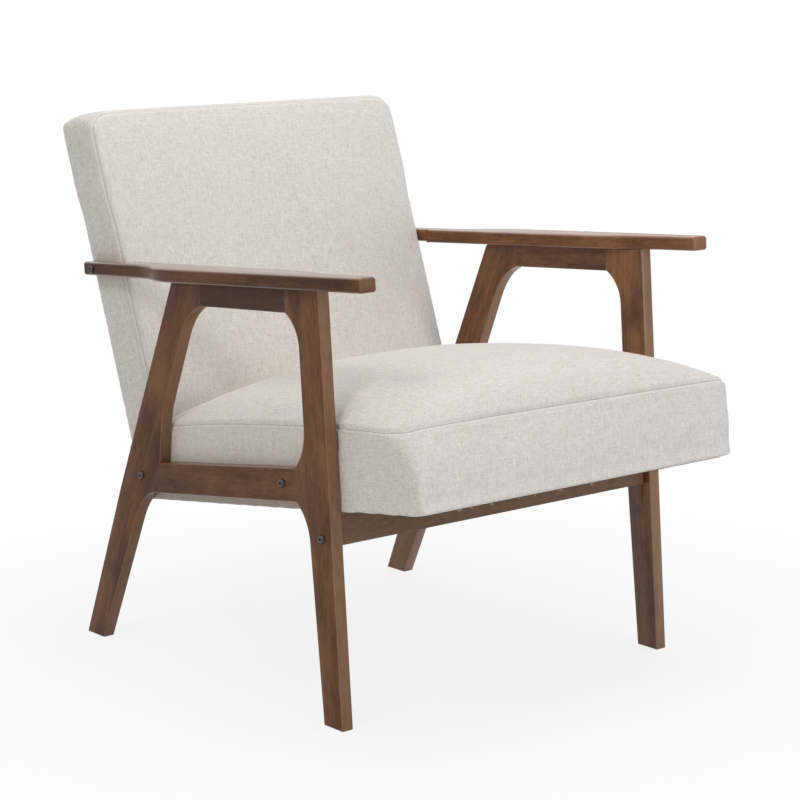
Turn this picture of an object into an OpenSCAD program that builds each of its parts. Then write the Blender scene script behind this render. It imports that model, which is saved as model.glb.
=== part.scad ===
// Accent chair: two flat timber side frames carrying an upholstered seat box and back panel.
// Millimetres, +Z up, the chair faces -Y. Left and right are the sitter's, so left is +X.
// Lengths along Y count from the front corner of the front feet, and the whole chair is then centred.

/* [Side frames] */
// Width over the outer faces of the two side frames
frame_w = 620; // [560:1:700]
// Thickness of the timber in the side frames
stock = 20; // [18:0.5:22]
// Height of the frame's top edge at the front of the front leg
frame_top = 607.5; // [590:0.5:640]
// Slope of the frame's top edge, falling to the rear
arm_tilt = 3.95; // [2:0.05:6]

/* [Front legs] */
// Lean of the front leg's front edge from vertical
front_rake = 3.7; // [2:0.1:6]
// Depth of the front foot
front_foot = 41; // [34:1:50]
// Depth of the front leg below its joint with the side rail
front_shank = 50; // [44:1:58]
// Depth of the front leg at its joint with the side rail
front_joint = 75.5; // [66:0.5:84]
// Depth of the front leg above the side rail
front_waist = 50; // [42:1:56]
// Depth of the front leg's head under the arm
front_head = 75; // [66:1:90]

/* [Rear legs] */
// Distance of the rear foot's rear corner behind the seat's rear edge
rear_foot_behind = 118.3619; // [100:0.0001:140]
// Height of the slight bend in the rear leg
knee_z = 250; // [240:1:262]
// Lean of the rear leg below the bend
rear_rake_low = 23.65; // [20:0.05:26]
// Lean of the rear leg above the bend
rear_rake_high = 25.1; // [22:0.05:27]
// Depth of the rear foot along the floor
rear_foot = 45.5; // [38:0.5:52]
// Depth of the rear leg below its joint with the side rail
rear_shank = 56; // [48:0.5:62]
// Depth of the rear leg at the side rail
rear_joint = 84.5; // [76:0.5:96]
// Depth of the rear leg above the side rail
rear_waist = 58.5; // [50:0.5:66]
// Depth of the rear leg below its head
rear_neck = 56; // [48:0.5:60]
// Depth of the rear leg's head under the arm
rear_head = 72; // [64:1:84]

/* [Rails and stretcher] */
// Height of the side rail at its front end
side_rail_front_h = 49; // [44:1:58]
// Height of the side rail at its rear end
side_rail_rear_h = 45; // [40:1:54]
// Height of the side rail's lower edge above the underside of the seat
side_rail_lift = 14; // [8:0.5:20]
// Height of the top rail under the arm
top_rail_h = 34.5; // [28:0.5:40]
// Height of the front stretcher
stretcher_h = 47; // [40:1:56]
// Distance of the stretcher behind the front edge of the leg
stretcher_setback = 11; // [6:0.5:16]

/* [Armrests] */
// Thickness of the armrest
arm_t = 20.5; // [18:0.5:24]
// Distance of the armrest's front end ahead of the frame's front edge
arm_front = 108; // [90:1:120]
// Overhang of the armrest inside the frame
arm_in = 15; // [10:1:22]
// Overhang of the armrest outside the frame where it is widest, before it steps in
arm_out = 26; // [18:1:32]
// Overhang of the armrest outside the frame at its front end
arm_lip = 11; // [8:1:17]
// Distance by which the inner edge is drawn outwards towards the front end
arm_draw = 16.5; // [6:0.5:18]
// Radius of the corners in plan
arm_corner_r = 6; // [4:0.5:8]
// Distance from the arm bolt to the armrest's rear end
arm_end = 23; // [16:1:30]
// Length of the curve where the outer edge steps in
arm_step = 160; // [120:1:190]
// Distance of that curve ahead of the back panel's front face
arm_step_lead = 49; // [40:1:70]

/* [Seat] */
// Distance of the seat's front edge ahead of the front foot's corner
seat_reach = 151.5; // [130:0.5:170]
// Height of the seat's underside at its front edge
seat_front_z = 326; // [310:1:345]
// Slope of the seat, falling to the rear
seat_tilt = 7.75; // [5:0.05:10]
// Depth of the seat box along its slope
seat_d = 696.5; // [675:0.5:720]
// Height of the seat's sides up to the seam
seat_side_h = 108; // [100:1:118]
// Rise of the seam from the corners to the middle of each side
seam_rise = 9; // [0:0.5:12]
// Height of the crown above the seam
seat_crown = 74; // [50:1:80]
// Setback of the front seam behind the front edge
seat_front_lean = 10; // [4:0.5:16]
// Radius of the seat's corners at the seam
seat_corner_r = 42; // [20:1:55]
// Gap between the seat and each side frame
seat_gap = 0.5; // [0.4:0.1:4]

/* [Back] */
// Lean of the back panel from vertical
back_lean = 19.3; // [15:0.1:24]
// Thickness of the back panel at its seam
back_t = 84; // [76:0.5:92]
// Height of the back panel's front face along its slope
back_h = 515.5; // [480:0.5:560]
// Height of the crown in front of the seam
back_crown = 13; // [6:1:20]
// Bulge of the top and sides between the seams
back_bulge = 5; // [0:0.5:8]
// Radius of the back panel's top corners at the seam
back_corner_r = 36; // [24:1:50]
// Radius of the back panel's top corners at the rear edge
back_rear_r = 21; // [12:1:24]
// Gap between the back panel and each side frame
back_gap = 2.5; // [2:0.1:5]

/* [Inner frames] */
// Height of the seat frame's rails
seat_rail_h = 75; // [66:1:84]
// Thickness of the seat frame's rails and the back frame's boards
board_t = 22; // [18:0.5:26]
// Depth of the back frame's boards
back_board_d = 52; // [46:1:58]
// Height of the back frame's bottom rail
back_foot_rail_h = 42; // [36:1:50]
// Side of the triangular blocks in the seat frame's corners
block_side = 48; // [40:1:60]
// Thickness of the webbing straps
strap_t = 2; // [1.5:0.1:3]
// Width of the webbing straps
strap_w = 60; // [50:1:70]
// Thickness of the covers
cover_t = 2; // [1.6:0.1:2.6]
// Thickness of the dust cover
dust_t = 1; // [0.6:0.1:1.2]

/* [Fasteners] */
// Diameter of the frame bolts
bolt_d = 6; // [5:0.5:8]
// Diameter of the frame bolts' heads
bolt_head_d = 12.5; // [11:0.5:16]
// Height of the frame bolts' heads
bolt_head_h = 3.3; // [2.5:0.1:4]
// Length of the stretcher bolts under the head
stretcher_bolt_l = 62; // [56:1:70]
// Diameter of the long bolts that hold the back down
long_bolt_d = 8; // [6:0.5:10]
// Diameter of the barrel nuts
barrel_d = 12; // [10:0.5:14]
// Diameter of the insert nuts
insert_d = 10; // [9:0.5:12]
// Length of the insert nuts
insert_l = 15; // [12:0.5:18]
// Diameter of the dowels
dowel_d = 8; // [6:0.5:10]
// Length of the dowels
dowel_l = 36; // [30:1:44]
// Diameter of the corner block screws
screw_d = 4; // [3:0.5:5]
// Length of the corner block screws
screw_l = 40; // [32:1:44]

/* [Hidden] */

// Clearances
fit = 0.1;          // around a dowel, nut or screw in its hole
bolt_play = 0.3;    // around a bolt in its hole
soft_gap = 0.3;     // between a soft piece and its neighbour
curve_n = 8;        // straight pieces in each curve of an outline
rail_chamfer = 14;  // cut off the seat frame's front corners, under the cover's round ones
back_edge = 3;      // rounding of the back panel's rear edge
crown_share = 0.75; // share of the back's crown that reaches down to the seat

WOOD = [0.40, 0.26, 0.19];
PINE = [0.80, 0.66, 0.46];
LINEN = [0.84, 0.82, 0.78];
FOAM = [0.93, 0.88, 0.70];
BLACK = [0.12, 0.12, 0.12];
STEEL = [0.66, 0.67, 0.69];

// Half widths
frame_in = frame_w/2 - stock;
seat_half = frame_in - seat_gap;
back_half = frame_in - back_gap;

// Where two lines cross, each given by two points
function meet(a, b, c, d) =
    let (u = b - a, v = d - c, k = u[0]*v[1] - u[1]*v[0], w = c - a)
    a + u*(w[0]*v[1] - w[1]*v[0])/k;
// A smooth curve from a to b that heads for c
function bend(a, c, b, n = curve_n) =
    [for (i = [0:n]) let (t = i/n) a*(1 - t)*(1 - t) + c*2*t*(1 - t) + b*t*t];
function mix(a, b, t) = a + (b - a)*t;

// Edges of the side frame: y at a height, or z at a y
function front_y(z) = z*tan(front_rake);
rear_foot_y = seat_d*cos(seat_tilt) - seat_reach + rear_foot_behind;
knee_y = rear_foot_y - knee_z*tan(rear_rake_low);
function rear_y(z) = z < knee_z ? rear_foot_y - z*tan(rear_rake_low)
                                : knee_y - (z - knee_z)*tan(rear_rake_high);
frame_front_y = front_y(frame_top);
function top_z(y) = frame_top - (y - frame_front_y)*tan(arm_tilt);
function top_rail_z(y) = top_z(y) - top_rail_h;

// The seat's own frame: along its slope from the front edge, and square to it
seat_front_y = -seat_reach;
function seat_pt(s, h) = [seat_front_y + s*cos(seat_tilt) + h*sin(seat_tilt),
                          seat_front_z - s*sin(seat_tilt) + h*cos(seat_tilt)];
function rail_low(s) = seat_pt(s, side_rail_lift);
function rail_high(s) = seat_pt(s, side_rail_lift + mix(side_rail_front_h, side_rail_rear_h, s/seat_d));

// Corners of the joints in the side frame
front_line = [[front_joint, 0], [frame_front_y + front_joint, frame_top]];
joint_a = meet(rail_low(0), rail_low(seat_d), front_line[0], front_line[1]);
joint_b = meet(rail_high(0), rail_high(seat_d), front_line[0], front_line[1]);
rear_line = [[knee_y - rear_joint, knee_z], [rear_y(frame_top) - rear_joint, frame_top]];
joint_c = meet(rail_low(0), rail_low(seat_d), rear_line[0], rear_line[1]);
joint_d = meet(rail_high(0), rail_high(seat_d), rear_line[0], rear_line[1]);
head_f = frame_front_y + front_head;
rear_top = meet([rear_y(knee_z), knee_z], [rear_y(frame_top), frame_top],
                [0, top_z(0)], [rear_foot_y, top_z(rear_foot_y)]);
head_r = rear_top[0] - rear_head;

// Inner frame and the back panel's foot
rail_base = cover_t + soft_gap;
rail_top_h = rail_base + seat_rail_h;
foot_h = rail_top_h + soft_gap + cover_t + soft_gap;
back_bevel = back_lean - seat_tilt;
back_foot_d = back_t/cos(back_bevel);
back_foot_s = seat_d - back_foot_d;
back_foot = seat_pt(back_foot_s, foot_h);
// A point of the back panel: height up its front face, and depth behind it
function back_pt(u, d) = [back_foot[0] + u*sin(back_lean) + d*cos(back_lean),
                          back_foot[1] + u*cos(back_lean) - d*sin(back_lean)];
back_board_in = back_t - cover_t - soft_gap - back_board_d;
skin = cover_t + soft_gap;

// Bolts: through the side rail and the rear leg at half the height of the seat's rails, the rear one
// always ahead of the rear rail, and through the arm's middle line where it meets the back panel's stile
bolt_h = skin + seat_rail_h/2;
seat_line = [seat_pt(0, bolt_h), seat_pt(seat_d, bolt_h)];
side_bolt_in = [31.5, 0];
rear_bolt_in = [37, 0];
side_bolt = meet(seat_line[0], seat_line[1], front_line[0] + side_bolt_in, front_line[1] + side_bolt_in);
rear_bolt_mark = meet(seat_line[0], seat_line[1], rear_line[0] + rear_bolt_in, rear_line[1] + rear_bolt_in);
rear_bolt_s = min((rear_bolt_mark[0] - seat_line[0][0])/cos(seat_tilt), seat_d - skin - board_t - insert_d/2 - 2);
rear_bolt = seat_pt(rear_bolt_s, bolt_h);
arm_bolt_d = back_t*0.62;
arm_bolt = meet([0, top_z(0) + arm_t/2/cos(arm_tilt)], [rear_foot_y, top_z(rear_foot_y) + arm_t/2/cos(arm_tilt)],
                back_pt(0, arm_bolt_d), back_pt(back_h, arm_bolt_d));
arm_back = meet([0, top_z(0)], [rear_foot_y, top_z(rear_foot_y)], back_pt(0, 0), back_pt(back_h, 0));

// The stretcher's middle line, parallel with the leg's front edge
function stretcher_y(z) = front_y(z) + stretcher_setback;
stretcher_low_z = seat_pt(0, 0)[1] - (stretcher_y(0) + stock - seat_front_y)*tan(seat_tilt) - stretcher_h;
stretcher_bolt_z = stretcher_low_z + 11;
stretcher_dowel_z = stretcher_low_z + 33;
stretcher_bolt = [stretcher_y(stretcher_bolt_z) + stock/2, stretcher_bolt_z];
stretcher_dowel = [stretcher_y(stretcher_dowel_z) + stock/2, stretcher_dowel_z];

// The chair's middle along Y, from the seat's front edge to the back panel's top rear edge
back_top_rear = back_pt(back_h - back_edge, back_t);
mid_y = (seat_front_y + back_top_rear[0])/2;

module placed() translate([0, -mid_y, 0]) children();
module sided(side) mirror([side < 0 ? 1 : 0, 0, 0]) children();
// An outline in Y and Z, thickened along X from x0
module board(x0, t) translate([x0, 0, 0]) rotate([90, 0, 90]) linear_extrude(t) children();
// A rod along X through a point of the side view
module rod_x(p, d, x0, l) translate([x0, p[0], p[1]]) rotate([0, 90, 0]) cylinder(d = d, h = l, $fn = 32);
module in_seat() translate([0, seat_front_y, seat_front_z]) rotate([-seat_tilt, 0, 0]) children();
module in_back() translate([0, back_foot[0], back_foot[1]]) rotate([-back_lean, 0, 0]) children();
module in_arm() translate([0, frame_front_y, frame_top]) rotate([-arm_tilt, 0, 0]) children();

// Side frame outlines
shank_z = joint_a[1] - 52;
waist_z = joint_b[1] + 60;
neck_z = top_rail_z(head_f) - 47;
function front_inner(z) = [front_y(z) + mix(front_foot, front_shank, z/shank_z), z];
function front_upper(z) = [front_y(z) + front_waist, z];
function front_leg_outline() = concat(
    [[0, 0], [front_foot, 0]],
    bend(front_inner(shank_z), front_inner(joint_a[1] - 22), joint_a),
    bend(joint_b, front_upper(joint_b[1] + 25), front_upper(waist_z)),
    bend(front_upper(neck_z), front_upper(neck_z + 30), [head_f, top_rail_z(head_f)]),
    [[head_f, top_z(head_f)], [frame_front_y, frame_top]]);

rear_shank_z = joint_c[1] - 51;
rear_waist_z = joint_d[1] + 88;
rear_neck_z = top_rail_z(head_r) - 56;
function rear_inner_low(z) = [rear_y(z) - mix(rear_foot, rear_shank, z/rear_shank_z), z];
function rear_inner_high(z) =
    [rear_y(z) - mix(rear_waist, rear_neck, (z - rear_waist_z)/(rear_neck_z - rear_waist_z)), z];
haunch = joint_d + [-5, 40];
haunch_turn = meet(joint_d, haunch, rear_inner_high(rear_waist_z), rear_inner_high(rear_neck_z));
head_turn = meet([head_r, top_rail_z(head_r)], [head_r + 50, top_rail_z(head_r) - 16],
                 rear_inner_high(rear_waist_z), rear_inner_high(rear_neck_z));
// The rear leg's top rear corner is bevelled: so far along the top, and so far down
rear_top_run = 8;
rear_top_drop = 2.5;
function rear_leg_outline() = concat(
    [[rear_foot_y, 0], [knee_y, knee_z], [rear_y(rear_top[1] - rear_top_drop), rear_top[1] - rear_top_drop],
     [rear_top[0] - rear_top_run, top_z(rear_top[0] - rear_top_run)], [head_r, top_z(head_r)]],
    bend([head_r, top_rail_z(head_r)], head_turn, rear_inner_high(rear_neck_z)),
    bend(rear_inner_high(rear_waist_z), haunch_turn, haunch),
    [joint_d],
    bend(joint_c, rear_inner_low(joint_c[1] - 12), rear_inner_low(rear_shank_z)),
    [[rear_foot_y - rear_foot, 0]]);

// Dowels of the side frame: a point on the joint and the rail's slope
rail_dowel_at = [
    for (k = [-1, 1]) each [
        [mix(joint_a, joint_b, 0.5 + 0.22*k), seat_tilt],
        [mix(joint_c, joint_d, 0.5 + 0.22*k), seat_tilt],
        [[head_f, top_z(head_f) - top_rail_h/2 + 6.5*k], arm_tilt],
        [[head_r, top_z(head_r) - top_rail_h/2 + 6.5*k], arm_tilt]]];
module rail_dowel_rods(d, l) for (a = rail_dowel_at)
    translate([frame_in + stock/2, a[0][0], a[0][1]]) rotate([-90 - a[1], 0, 0])
        cylinder(d = d, h = l, center = true, $fn = 24);
// Dowels between the frame's top edge and the arm
arm_dowel_y = [frame_front_y + 22, mix(head_f, head_r, 0.5), rear_top[0] - 28];
arm_dowel_up = arm_t - 6;
module arm_dowel_rods(d, more) for (y = arm_dowel_y)
    translate([frame_in + stock/2, y, top_z(y)]) rotate([-arm_tilt, 0, 0])
        translate([0, 0, -arm_dowel_up - more]) cylinder(d = d, h = 2*(arm_dowel_up + more), $fn = 24);

module front_leg(side) color(WOOD) placed() sided(side) difference() {
    board(frame_in, stock) polygon(front_leg_outline());
    rod_x(stretcher_bolt, bolt_d + 2*bolt_play, frame_in - 1, stock + 2);
    rod_x(stretcher_dowel, dowel_d + 2*fit, frame_in - 1, dowel_l/2 - 2 + 1 + fit);
    rail_dowel_rods(dowel_d + 2*fit, dowel_l + 2*fit);
    arm_dowel_rods(dowel_d + 2*fit, fit);
}
module rear_leg(side) color(WOOD) placed() sided(side) difference() {
    board(frame_in, stock) polygon(rear_leg_outline());
    rod_x(rear_bolt, bolt_d + 2*bolt_play, frame_in - 1, stock + 2);
    rail_dowel_rods(dowel_d + 2*fit, dowel_l + 2*fit);
    arm_dowel_rods(dowel_d + 2*fit, fit);
}
module top_rail(side) color(WOOD) placed() sided(side) difference() {
    board(frame_in, stock) polygon([[head_f, top_rail_z(head_f)], [head_r, top_rail_z(head_r)],
                                    [head_r, top_z(head_r)], [head_f, top_z(head_f)]]);
    rail_dowel_rods(dowel_d + 2*fit, dowel_l + 2*fit);
    arm_dowel_rods(dowel_d + 2*fit, fit);
}
module side_rail(side) color(WOOD) placed() sided(side) difference() {
    board(frame_in, stock) polygon([joint_a, joint_c, joint_d, joint_b]);
    rod_x(side_bolt, bolt_d + 2*bolt_play, frame_in - 1, stock + 2);
    rail_dowel_rods(dowel_d + 2*fit, dowel_l + 2*fit);
}

// Arm plan: x outward from the middle of the chair, y along the arm from the frame's front edge
function arm_s(p) = (p[0] - frame_front_y)/cos(arm_tilt);
arm_rear_s = arm_s(arm_bolt) + arm_end;
arm_notch_s = arm_s(arm_back) - back_crown - 14;
arm_inner_x = frame_in - arm_in;
arm_nose_x = arm_inner_x + arm_draw;
arm_rear_x = back_half + soft_gap;
arm_outer_x = frame_w/2 + arm_out;
arm_front_x = frame_w/2 + arm_lip;
arm_step_s = arm_s(arm_back) - arm_step_lead - arm_step;
arm_draw_s = [110, -40];    // where the inner edge is drawn outwards, from the frame's front edge
// A double curve between two lines along the arm, from x0 at s0 to x1 at s1
function sweep(x0, s0, x1, s1) = let (m = [mix(x0, x1, 0.5), mix(s0, s1, 0.5)]) concat(
    bend([x0, s0], [x0, mix(s0, s1, 1/3)], m), bend(m, [x1, mix(s0, s1, 2/3)], [x1, s1]));
module arm_plan() let (r = arm_corner_r) polygon(concat(
    bend([arm_nose_x, -arm_front + r], [arm_nose_x, -arm_front], [arm_nose_x + r, -arm_front]),
    bend([arm_front_x - r, -arm_front], [arm_front_x, -arm_front], [arm_front_x, -arm_front + r]),
    sweep(arm_outer_x, arm_step_s, frame_w/2, arm_step_s + arm_step),
    bend([frame_w/2, arm_rear_s - r], [frame_w/2, arm_rear_s], [frame_w/2 - r, arm_rear_s]),
    [[arm_rear_x, arm_rear_s]],
    bend([arm_rear_x, arm_notch_s + 12], [arm_rear_x, arm_notch_s], [arm_rear_x - 12, arm_notch_s]),
    [[arm_inner_x, arm_notch_s]],
    sweep(arm_inner_x, arm_draw_s[0], arm_nose_x, arm_draw_s[1])));
module armrest(side) color(WOOD) placed() sided(side) difference() {
    in_arm() linear_extrude(arm_t) arm_plan();
    arm_dowel_rods(dowel_d + 2*fit, fit);
    rod_x(arm_bolt, bolt_d + 2*bolt_play, arm_rear_x - 5, stock + 30);
}

// The stretcher's top is bevelled to the seat's slope
module front_stretcher() color(WOOD) placed() difference() {
    board(-frame_in, 2*frame_in) polygon([
        [stretcher_y(stretcher_low_z), stretcher_low_z], [stretcher_y(stretcher_low_z) + stock, stretcher_low_z],
        stretcher_top(stock), stretcher_top(0)]);
    for (side = [-1, 1]) sided(side) {
        rod_x(stretcher_bolt, bolt_d + 2*bolt_play, frame_in - 50, 51);
        rod_x(stretcher_dowel, dowel_d + 2*fit, frame_in - dowel_l/2 - 2 - fit, dowel_l/2 + 3);
        barrel_place(barrel_d + 2*fit, barrel_l + 2*fit, 2);
    }
}
function stretcher_top(off) = meet(seat_pt(0, -dust_t), seat_pt(seat_d, -dust_t),
    [stretcher_y(0) + off, 0], [stretcher_y(frame_top) + off, frame_top]);
// The stretcher's barrel nuts sit in blind holes that open to the rear
barrel_x = frame_in - 36;
barrel_l = stock - 5;
module barrel_place(d, l, more = 0) translate([barrel_x, stretcher_bolt[0] + stock/2 + more - 1, stretcher_bolt[1]])
    rotate([90, 0, 0]) cylinder(d = d, h = l + more, $fn = 32);

// Seat frame: rails on edge inside the cover
seat_in = seat_half - skin;
seat_front_s = skin + seat_front_lean;
seat_rear_s = seat_d - skin;
module seat_box(x0, x1, s0, s1) translate([x0, s0, rail_base]) cube([x1 - x0, s1 - s0, seat_rail_h]);
long_bolt_x = [-170, 170];
long_bolt_s = seat_rear_s - board_t/2;
module seat_bolt_holes(d, x0, l) {
    rod_x(side_bolt, d, x0, l);
    rod_x(rear_bolt, d, x0, l);
}
module seat_rail_front() color(PINE) placed() difference() {
    in_seat() translate([0, seat_front_s, rail_base]) linear_extrude(seat_rail_h) polygon([
        [-seat_in, board_t], [-seat_in, rail_chamfer], [-seat_in + rail_chamfer, 0],
        [seat_in - rail_chamfer, 0], [seat_in, rail_chamfer], [seat_in, board_t]]);
    block_screw_rods(screw_d + 2*fit);
}
module seat_rail_rear() color(PINE) placed() difference() {
    in_seat() seat_box(-seat_in, seat_in, seat_rear_s - board_t, seat_rear_s);
    block_screw_rods(screw_d + 2*fit);
    long_bolt_holes(long_bolt_d + 2*bolt_play);
}
module seat_rail_side(side) color(PINE) placed() sided(side) difference() {
    in_seat() seat_box(seat_in - board_t, seat_in, seat_front_s + board_t, seat_rear_s - board_t);
    seat_bolt_holes(insert_d + 2*fit, seat_in - insert_l - fit, insert_l + 2);
    block_screw_rods(screw_d + 2*fit);
}
// Triangular blocks in the seat frame's corners, each with a screw into both rails
block_z = rail_base + 8;
block_h = seat_rail_h - 16;
block_corners = [[seat_in - board_t, seat_front_s + board_t, 1], [seat_in - board_t, seat_rear_s - board_t, -1]];
module in_blocks() for (side = [-1, 1], c = block_corners) sided(side) in_seat()
    translate([c[0], c[1], block_z]) mirror([0, c[2] < 0 ? 1 : 0, 0]) children();
module block_screw_rods(d) for (side = [-1, 1], c = block_corners) sided(side) in_seat()
    translate([c[0], c[1], block_z]) mirror([0, c[2] < 0 ? 1 : 0, 0]) block_screw_pair(d);
screw_into = 14;
module block_screw_pair(d) {
    translate([-block_side + 12, screw_l - screw_into, block_h*0.3]) rotate([90, 0, 0])
        cylinder(d = d, h = screw_l, $fn = 20);
    translate([-screw_l + screw_into, block_side - 12, block_h*0.7]) rotate([0, 90, 0])
        cylinder(d = d, h = screw_l, $fn = 20);
}
module seat_corner_blocks() color(PINE) placed() difference() {
    in_blocks() linear_extrude(block_h) polygon([[0, 0], [-block_side, 0], [0, block_side]]);
    block_screw_rods(screw_d + 2*fit);
}

strap_n = 6;
strap_from = seat_front_s + board_t + 20;
strap_to = back_foot_s - strap_w - 20;
module seat_webbing() color("dimgray") placed() in_seat() for (i = [0:strap_n - 1])
    translate([-seat_in + 2, mix(strap_from, strap_to, i/(strap_n - 1)), rail_top_h])
        cube([2*seat_in - 4, strap_w, strap_t]);

// Cushion forms: rings of a rounded outline, from the flat base up the sides to the seam and over the crown
fine_n = 60;
coarse_n = 32;
corner_part = 0.3;
// A point of a rounded rectangle of half sizes a and b and corner radius r, at t from 0 to 1 round it
function round_point(t, a, b, r) =
    let (k = floor(t*4), f = t*4 - k,
         sx = k == 0 || k == 3 ? 1 : -1, sy = k < 2 ? 1 : -1,
         g = k % 2 == 0 ? f : 1 - f,
         arc = 90*(g - corner_part)/(1 - 2*corner_part),
         q = g < corner_part ? [a, (b - r)*g/corner_part] :
             g > 1 - corner_part ? [(a - r)*(1 - g)/corner_part, b] :
             [a - r + r*cos(arc), b - r + r*sin(arc)])
    [sx*q[0], sy*q[1]];
function mean(ring) = [for (k = [0:2]) [for (p = ring) p[k]]*[for (p = ring) 1]/len(ring)];
// A closed skin over rings of equal length, with a fan over the first and the last
module lofted(rings) {
    n = len(rings[0]);
    m = len(rings);
    polyhedron(points = concat([for (ring = rings) each ring], [mean(rings[0]), mean(rings[m - 1])]),
        faces = concat(
            [for (j = [0:m - 2], i = [0:n - 1]) let (i2 = (i + 1) % n)
                each [[j*n + i, (j + 1)*n + i, (j + 1)*n + i2], [j*n + i, (j + 1)*n + i2, j*n + i2]]],
            [for (i = [0:n - 1]) [m*n, i, (i + 1) % n]],
            [for (i = [0:n - 1]) [m*n + 1, (m - 1)*n + (i + 1) % n, (m - 1)*n + i]]));
}
// Bands over the crown, from just inside the seam to near the middle
crown_steps = [0.985, 0.95, 0.88, 0.76, 0.56, 0.3];
// Share of the crown's height over a cushion's face, from nothing at the seam to one in the middle:
// over the back panel
function swell(v) = pow(1 - min(1, pow(abs(v), 6)), 0.6)*(1 - 0.3*v*v);
function back_dome(p, a, b, k) = swell(p[0]/a)*swell(p[1]/b)*(1 - pow(k, 24));
// and over the seat, across and along, steep behind the front seam and falling away towards the back
function across(v) = pow(1 - pow(min(1, abs(v)), 2.7), 0.69);
function along(v) = v < 0 ? pow(1 - pow(min(1, -v), 2.33), 0.3) : max(0, 1 - 1.2*v*v);
function seat_dome(p, a, b, k) = across(p[0]/a)*along(p[1]/b)*(1 - pow(k, 24));

// Seat form, drawn in by inset all round, from the height base up
seat_levels = [0, 0.25, 0.5, 0.75, 0.92, 1];
seat_draw = 2.5;
module seat_form(inset, base, n) {
    a = seat_half - inset;
    b = (seat_d - 2*inset)/2;
    function side_ring(t) = [for (i = [0:n - 1])
        let (r = mix(8, seat_corner_r, pow(t, 3)), w = a - seat_draw*pow(t, 6),
             p = round_point(i/n, w, b, max(r - inset, 4)),
             front = max(0, -p[1]/b),
             rise = seam_rise*(1 - pow(min(abs(p[0])/a, abs(p[1])/b), 2)))
        [p[0], seat_d/2 + p[1] + front*(seat_front_lean*pow(t, 1.8) - 2*sin(180*t)),
         mix(base, seat_side_h - inset + rise, t)]];
    seam = side_ring(1);
    top = seat_side_h - inset + seam_rise;
    function crown_ring(k) = [for (p = seam)
        let (q = [p[0], p[1] - seat_d/2]*k)
        [q[0], q[1] + seat_d/2, mix(top, p[2], pow(k, 4)) + seat_crown*seat_dome(q, a, b, k)]];
    lofted(concat([for (t = seat_levels) side_ring(t)], [for (k = crown_steps) crown_ring(k)]));
}
// The room that the back panel takes above the seat frame, in side view:
// ahead of its front face by one gap, and under its foot by another
module back_room(ahead, under) board(-frame_w, 2*frame_w) polygon([
    seat_pt(back_foot_s - ahead/cos(back_bevel) - (under + ahead)*tan(back_bevel), foot_h - under),
    back_pt(back_h, -ahead), back_pt(back_h, 3*back_t), seat_pt(seat_d + back_t, foot_h - under)]);
back_touch = back_crown*crown_share;

// Room in the upholstery for the bolts of one side
module seat_cover_holes() for (side = [-1, 1]) sided(side)
    seat_bolt_holes(bolt_d + 4*bolt_play, seat_in - 1, 2*skin + 2);
module seat_foam() color(FOAM) placed() difference() {
    in_seat() seat_form(skin, skin, coarse_n);
    back_room(skin + soft_gap + back_touch, skin + soft_gap + strap_t);
    in_seat() translate([-seat_half, seat_front_s - soft_gap, 0])
        cube([2*seat_half, seat_d, rail_top_h + strap_t + soft_gap]);
}
module seat_cover() color(LINEN) placed() difference() {
    in_seat() seat_form(0, 0, fine_n);
    back_room(soft_gap + back_touch, soft_gap);
    difference() {
        in_seat() seat_form(cover_t, cover_t, coarse_n);
        back_room(soft_gap + cover_t + back_touch, soft_gap + cover_t);
    }
    in_seat() translate([-seat_half + 30, 30, -1]) cube([2*seat_half - 60, seat_d - 60, cover_t + 2]);
    seat_cover_holes();
    long_bolt_holes(long_bolt_d + 4*bolt_play);
}
dust_in = 12;
module seat_dust_cover() color("#2b2b2b") placed() {
    in_seat() translate([-seat_half + dust_in, dust_in, -dust_t])
        cube([2*(seat_half - dust_in), long_bolt_s - long_bolt_head_d - dust_in, dust_t]);
}

// Back frame, in the panel's own frame: x across, y behind the front face, z up the panel
back_pad = 8;
back_top_pad = 24;
back_in = back_half - back_pad;
back_frame_top = back_h - back_top_pad;
module back_board(x0, x1, u0, u1) translate([x0, back_board_in, u0]) cube([x1 - x0, back_board_d, u1 - u0]);
// Everything below a height over the panel's bevelled foot
module below_foot(h) board(-frame_w, 2*frame_w) polygon([
    seat_pt(0, foot_h + h), seat_pt(seat_d + back_t, foot_h + h),
    seat_pt(seat_d + back_t, -2*back_t), seat_pt(0, -2*back_t)]);
back_rail_u = back_foot_rail_h + skin;
module back_stile(side) color(PINE) placed() sided(side) difference() {
    in_back() back_board(back_in - board_t, back_in, -back_t, back_frame_top);
    below_foot(skin);
    rod_x(arm_bolt, insert_d + 2*fit, back_in - insert_l - fit, insert_l + 2);
}
module back_rail_top() color(PINE) placed()
    in_back() back_board(-back_in + board_t, back_in - board_t, back_frame_top - board_t, back_frame_top);
back_mid_u = (arm_bolt[1] - back_foot[1])/cos(back_lean) + 24;
module back_rail_middle() color(PINE) placed()
    in_back() back_board(-back_in + board_t, back_in - board_t, back_mid_u, back_mid_u + board_t);
module back_rail_bottom() color(PINE) placed() difference() {
    in_back() back_board(-back_in + board_t, back_in - board_t, -back_t, back_rail_u);
    below_foot(skin);
    long_bolt_holes(long_bolt_d + 2*bolt_play);
    back_barrels(barrel_d + 2*fit, 3*back_t);
}
back_strap_n = 5;
module back_webbing() color("dimgray") placed() in_back() for (i = [0:back_strap_n - 1])
    translate([-back_in + 2, back_board_in - strap_t,
               mix(back_rail_u + 12, back_frame_top - board_t - strap_w - 12, i/(back_strap_n - 1))])
        cube([2*back_in - 4, strap_t, strap_w]);

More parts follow.
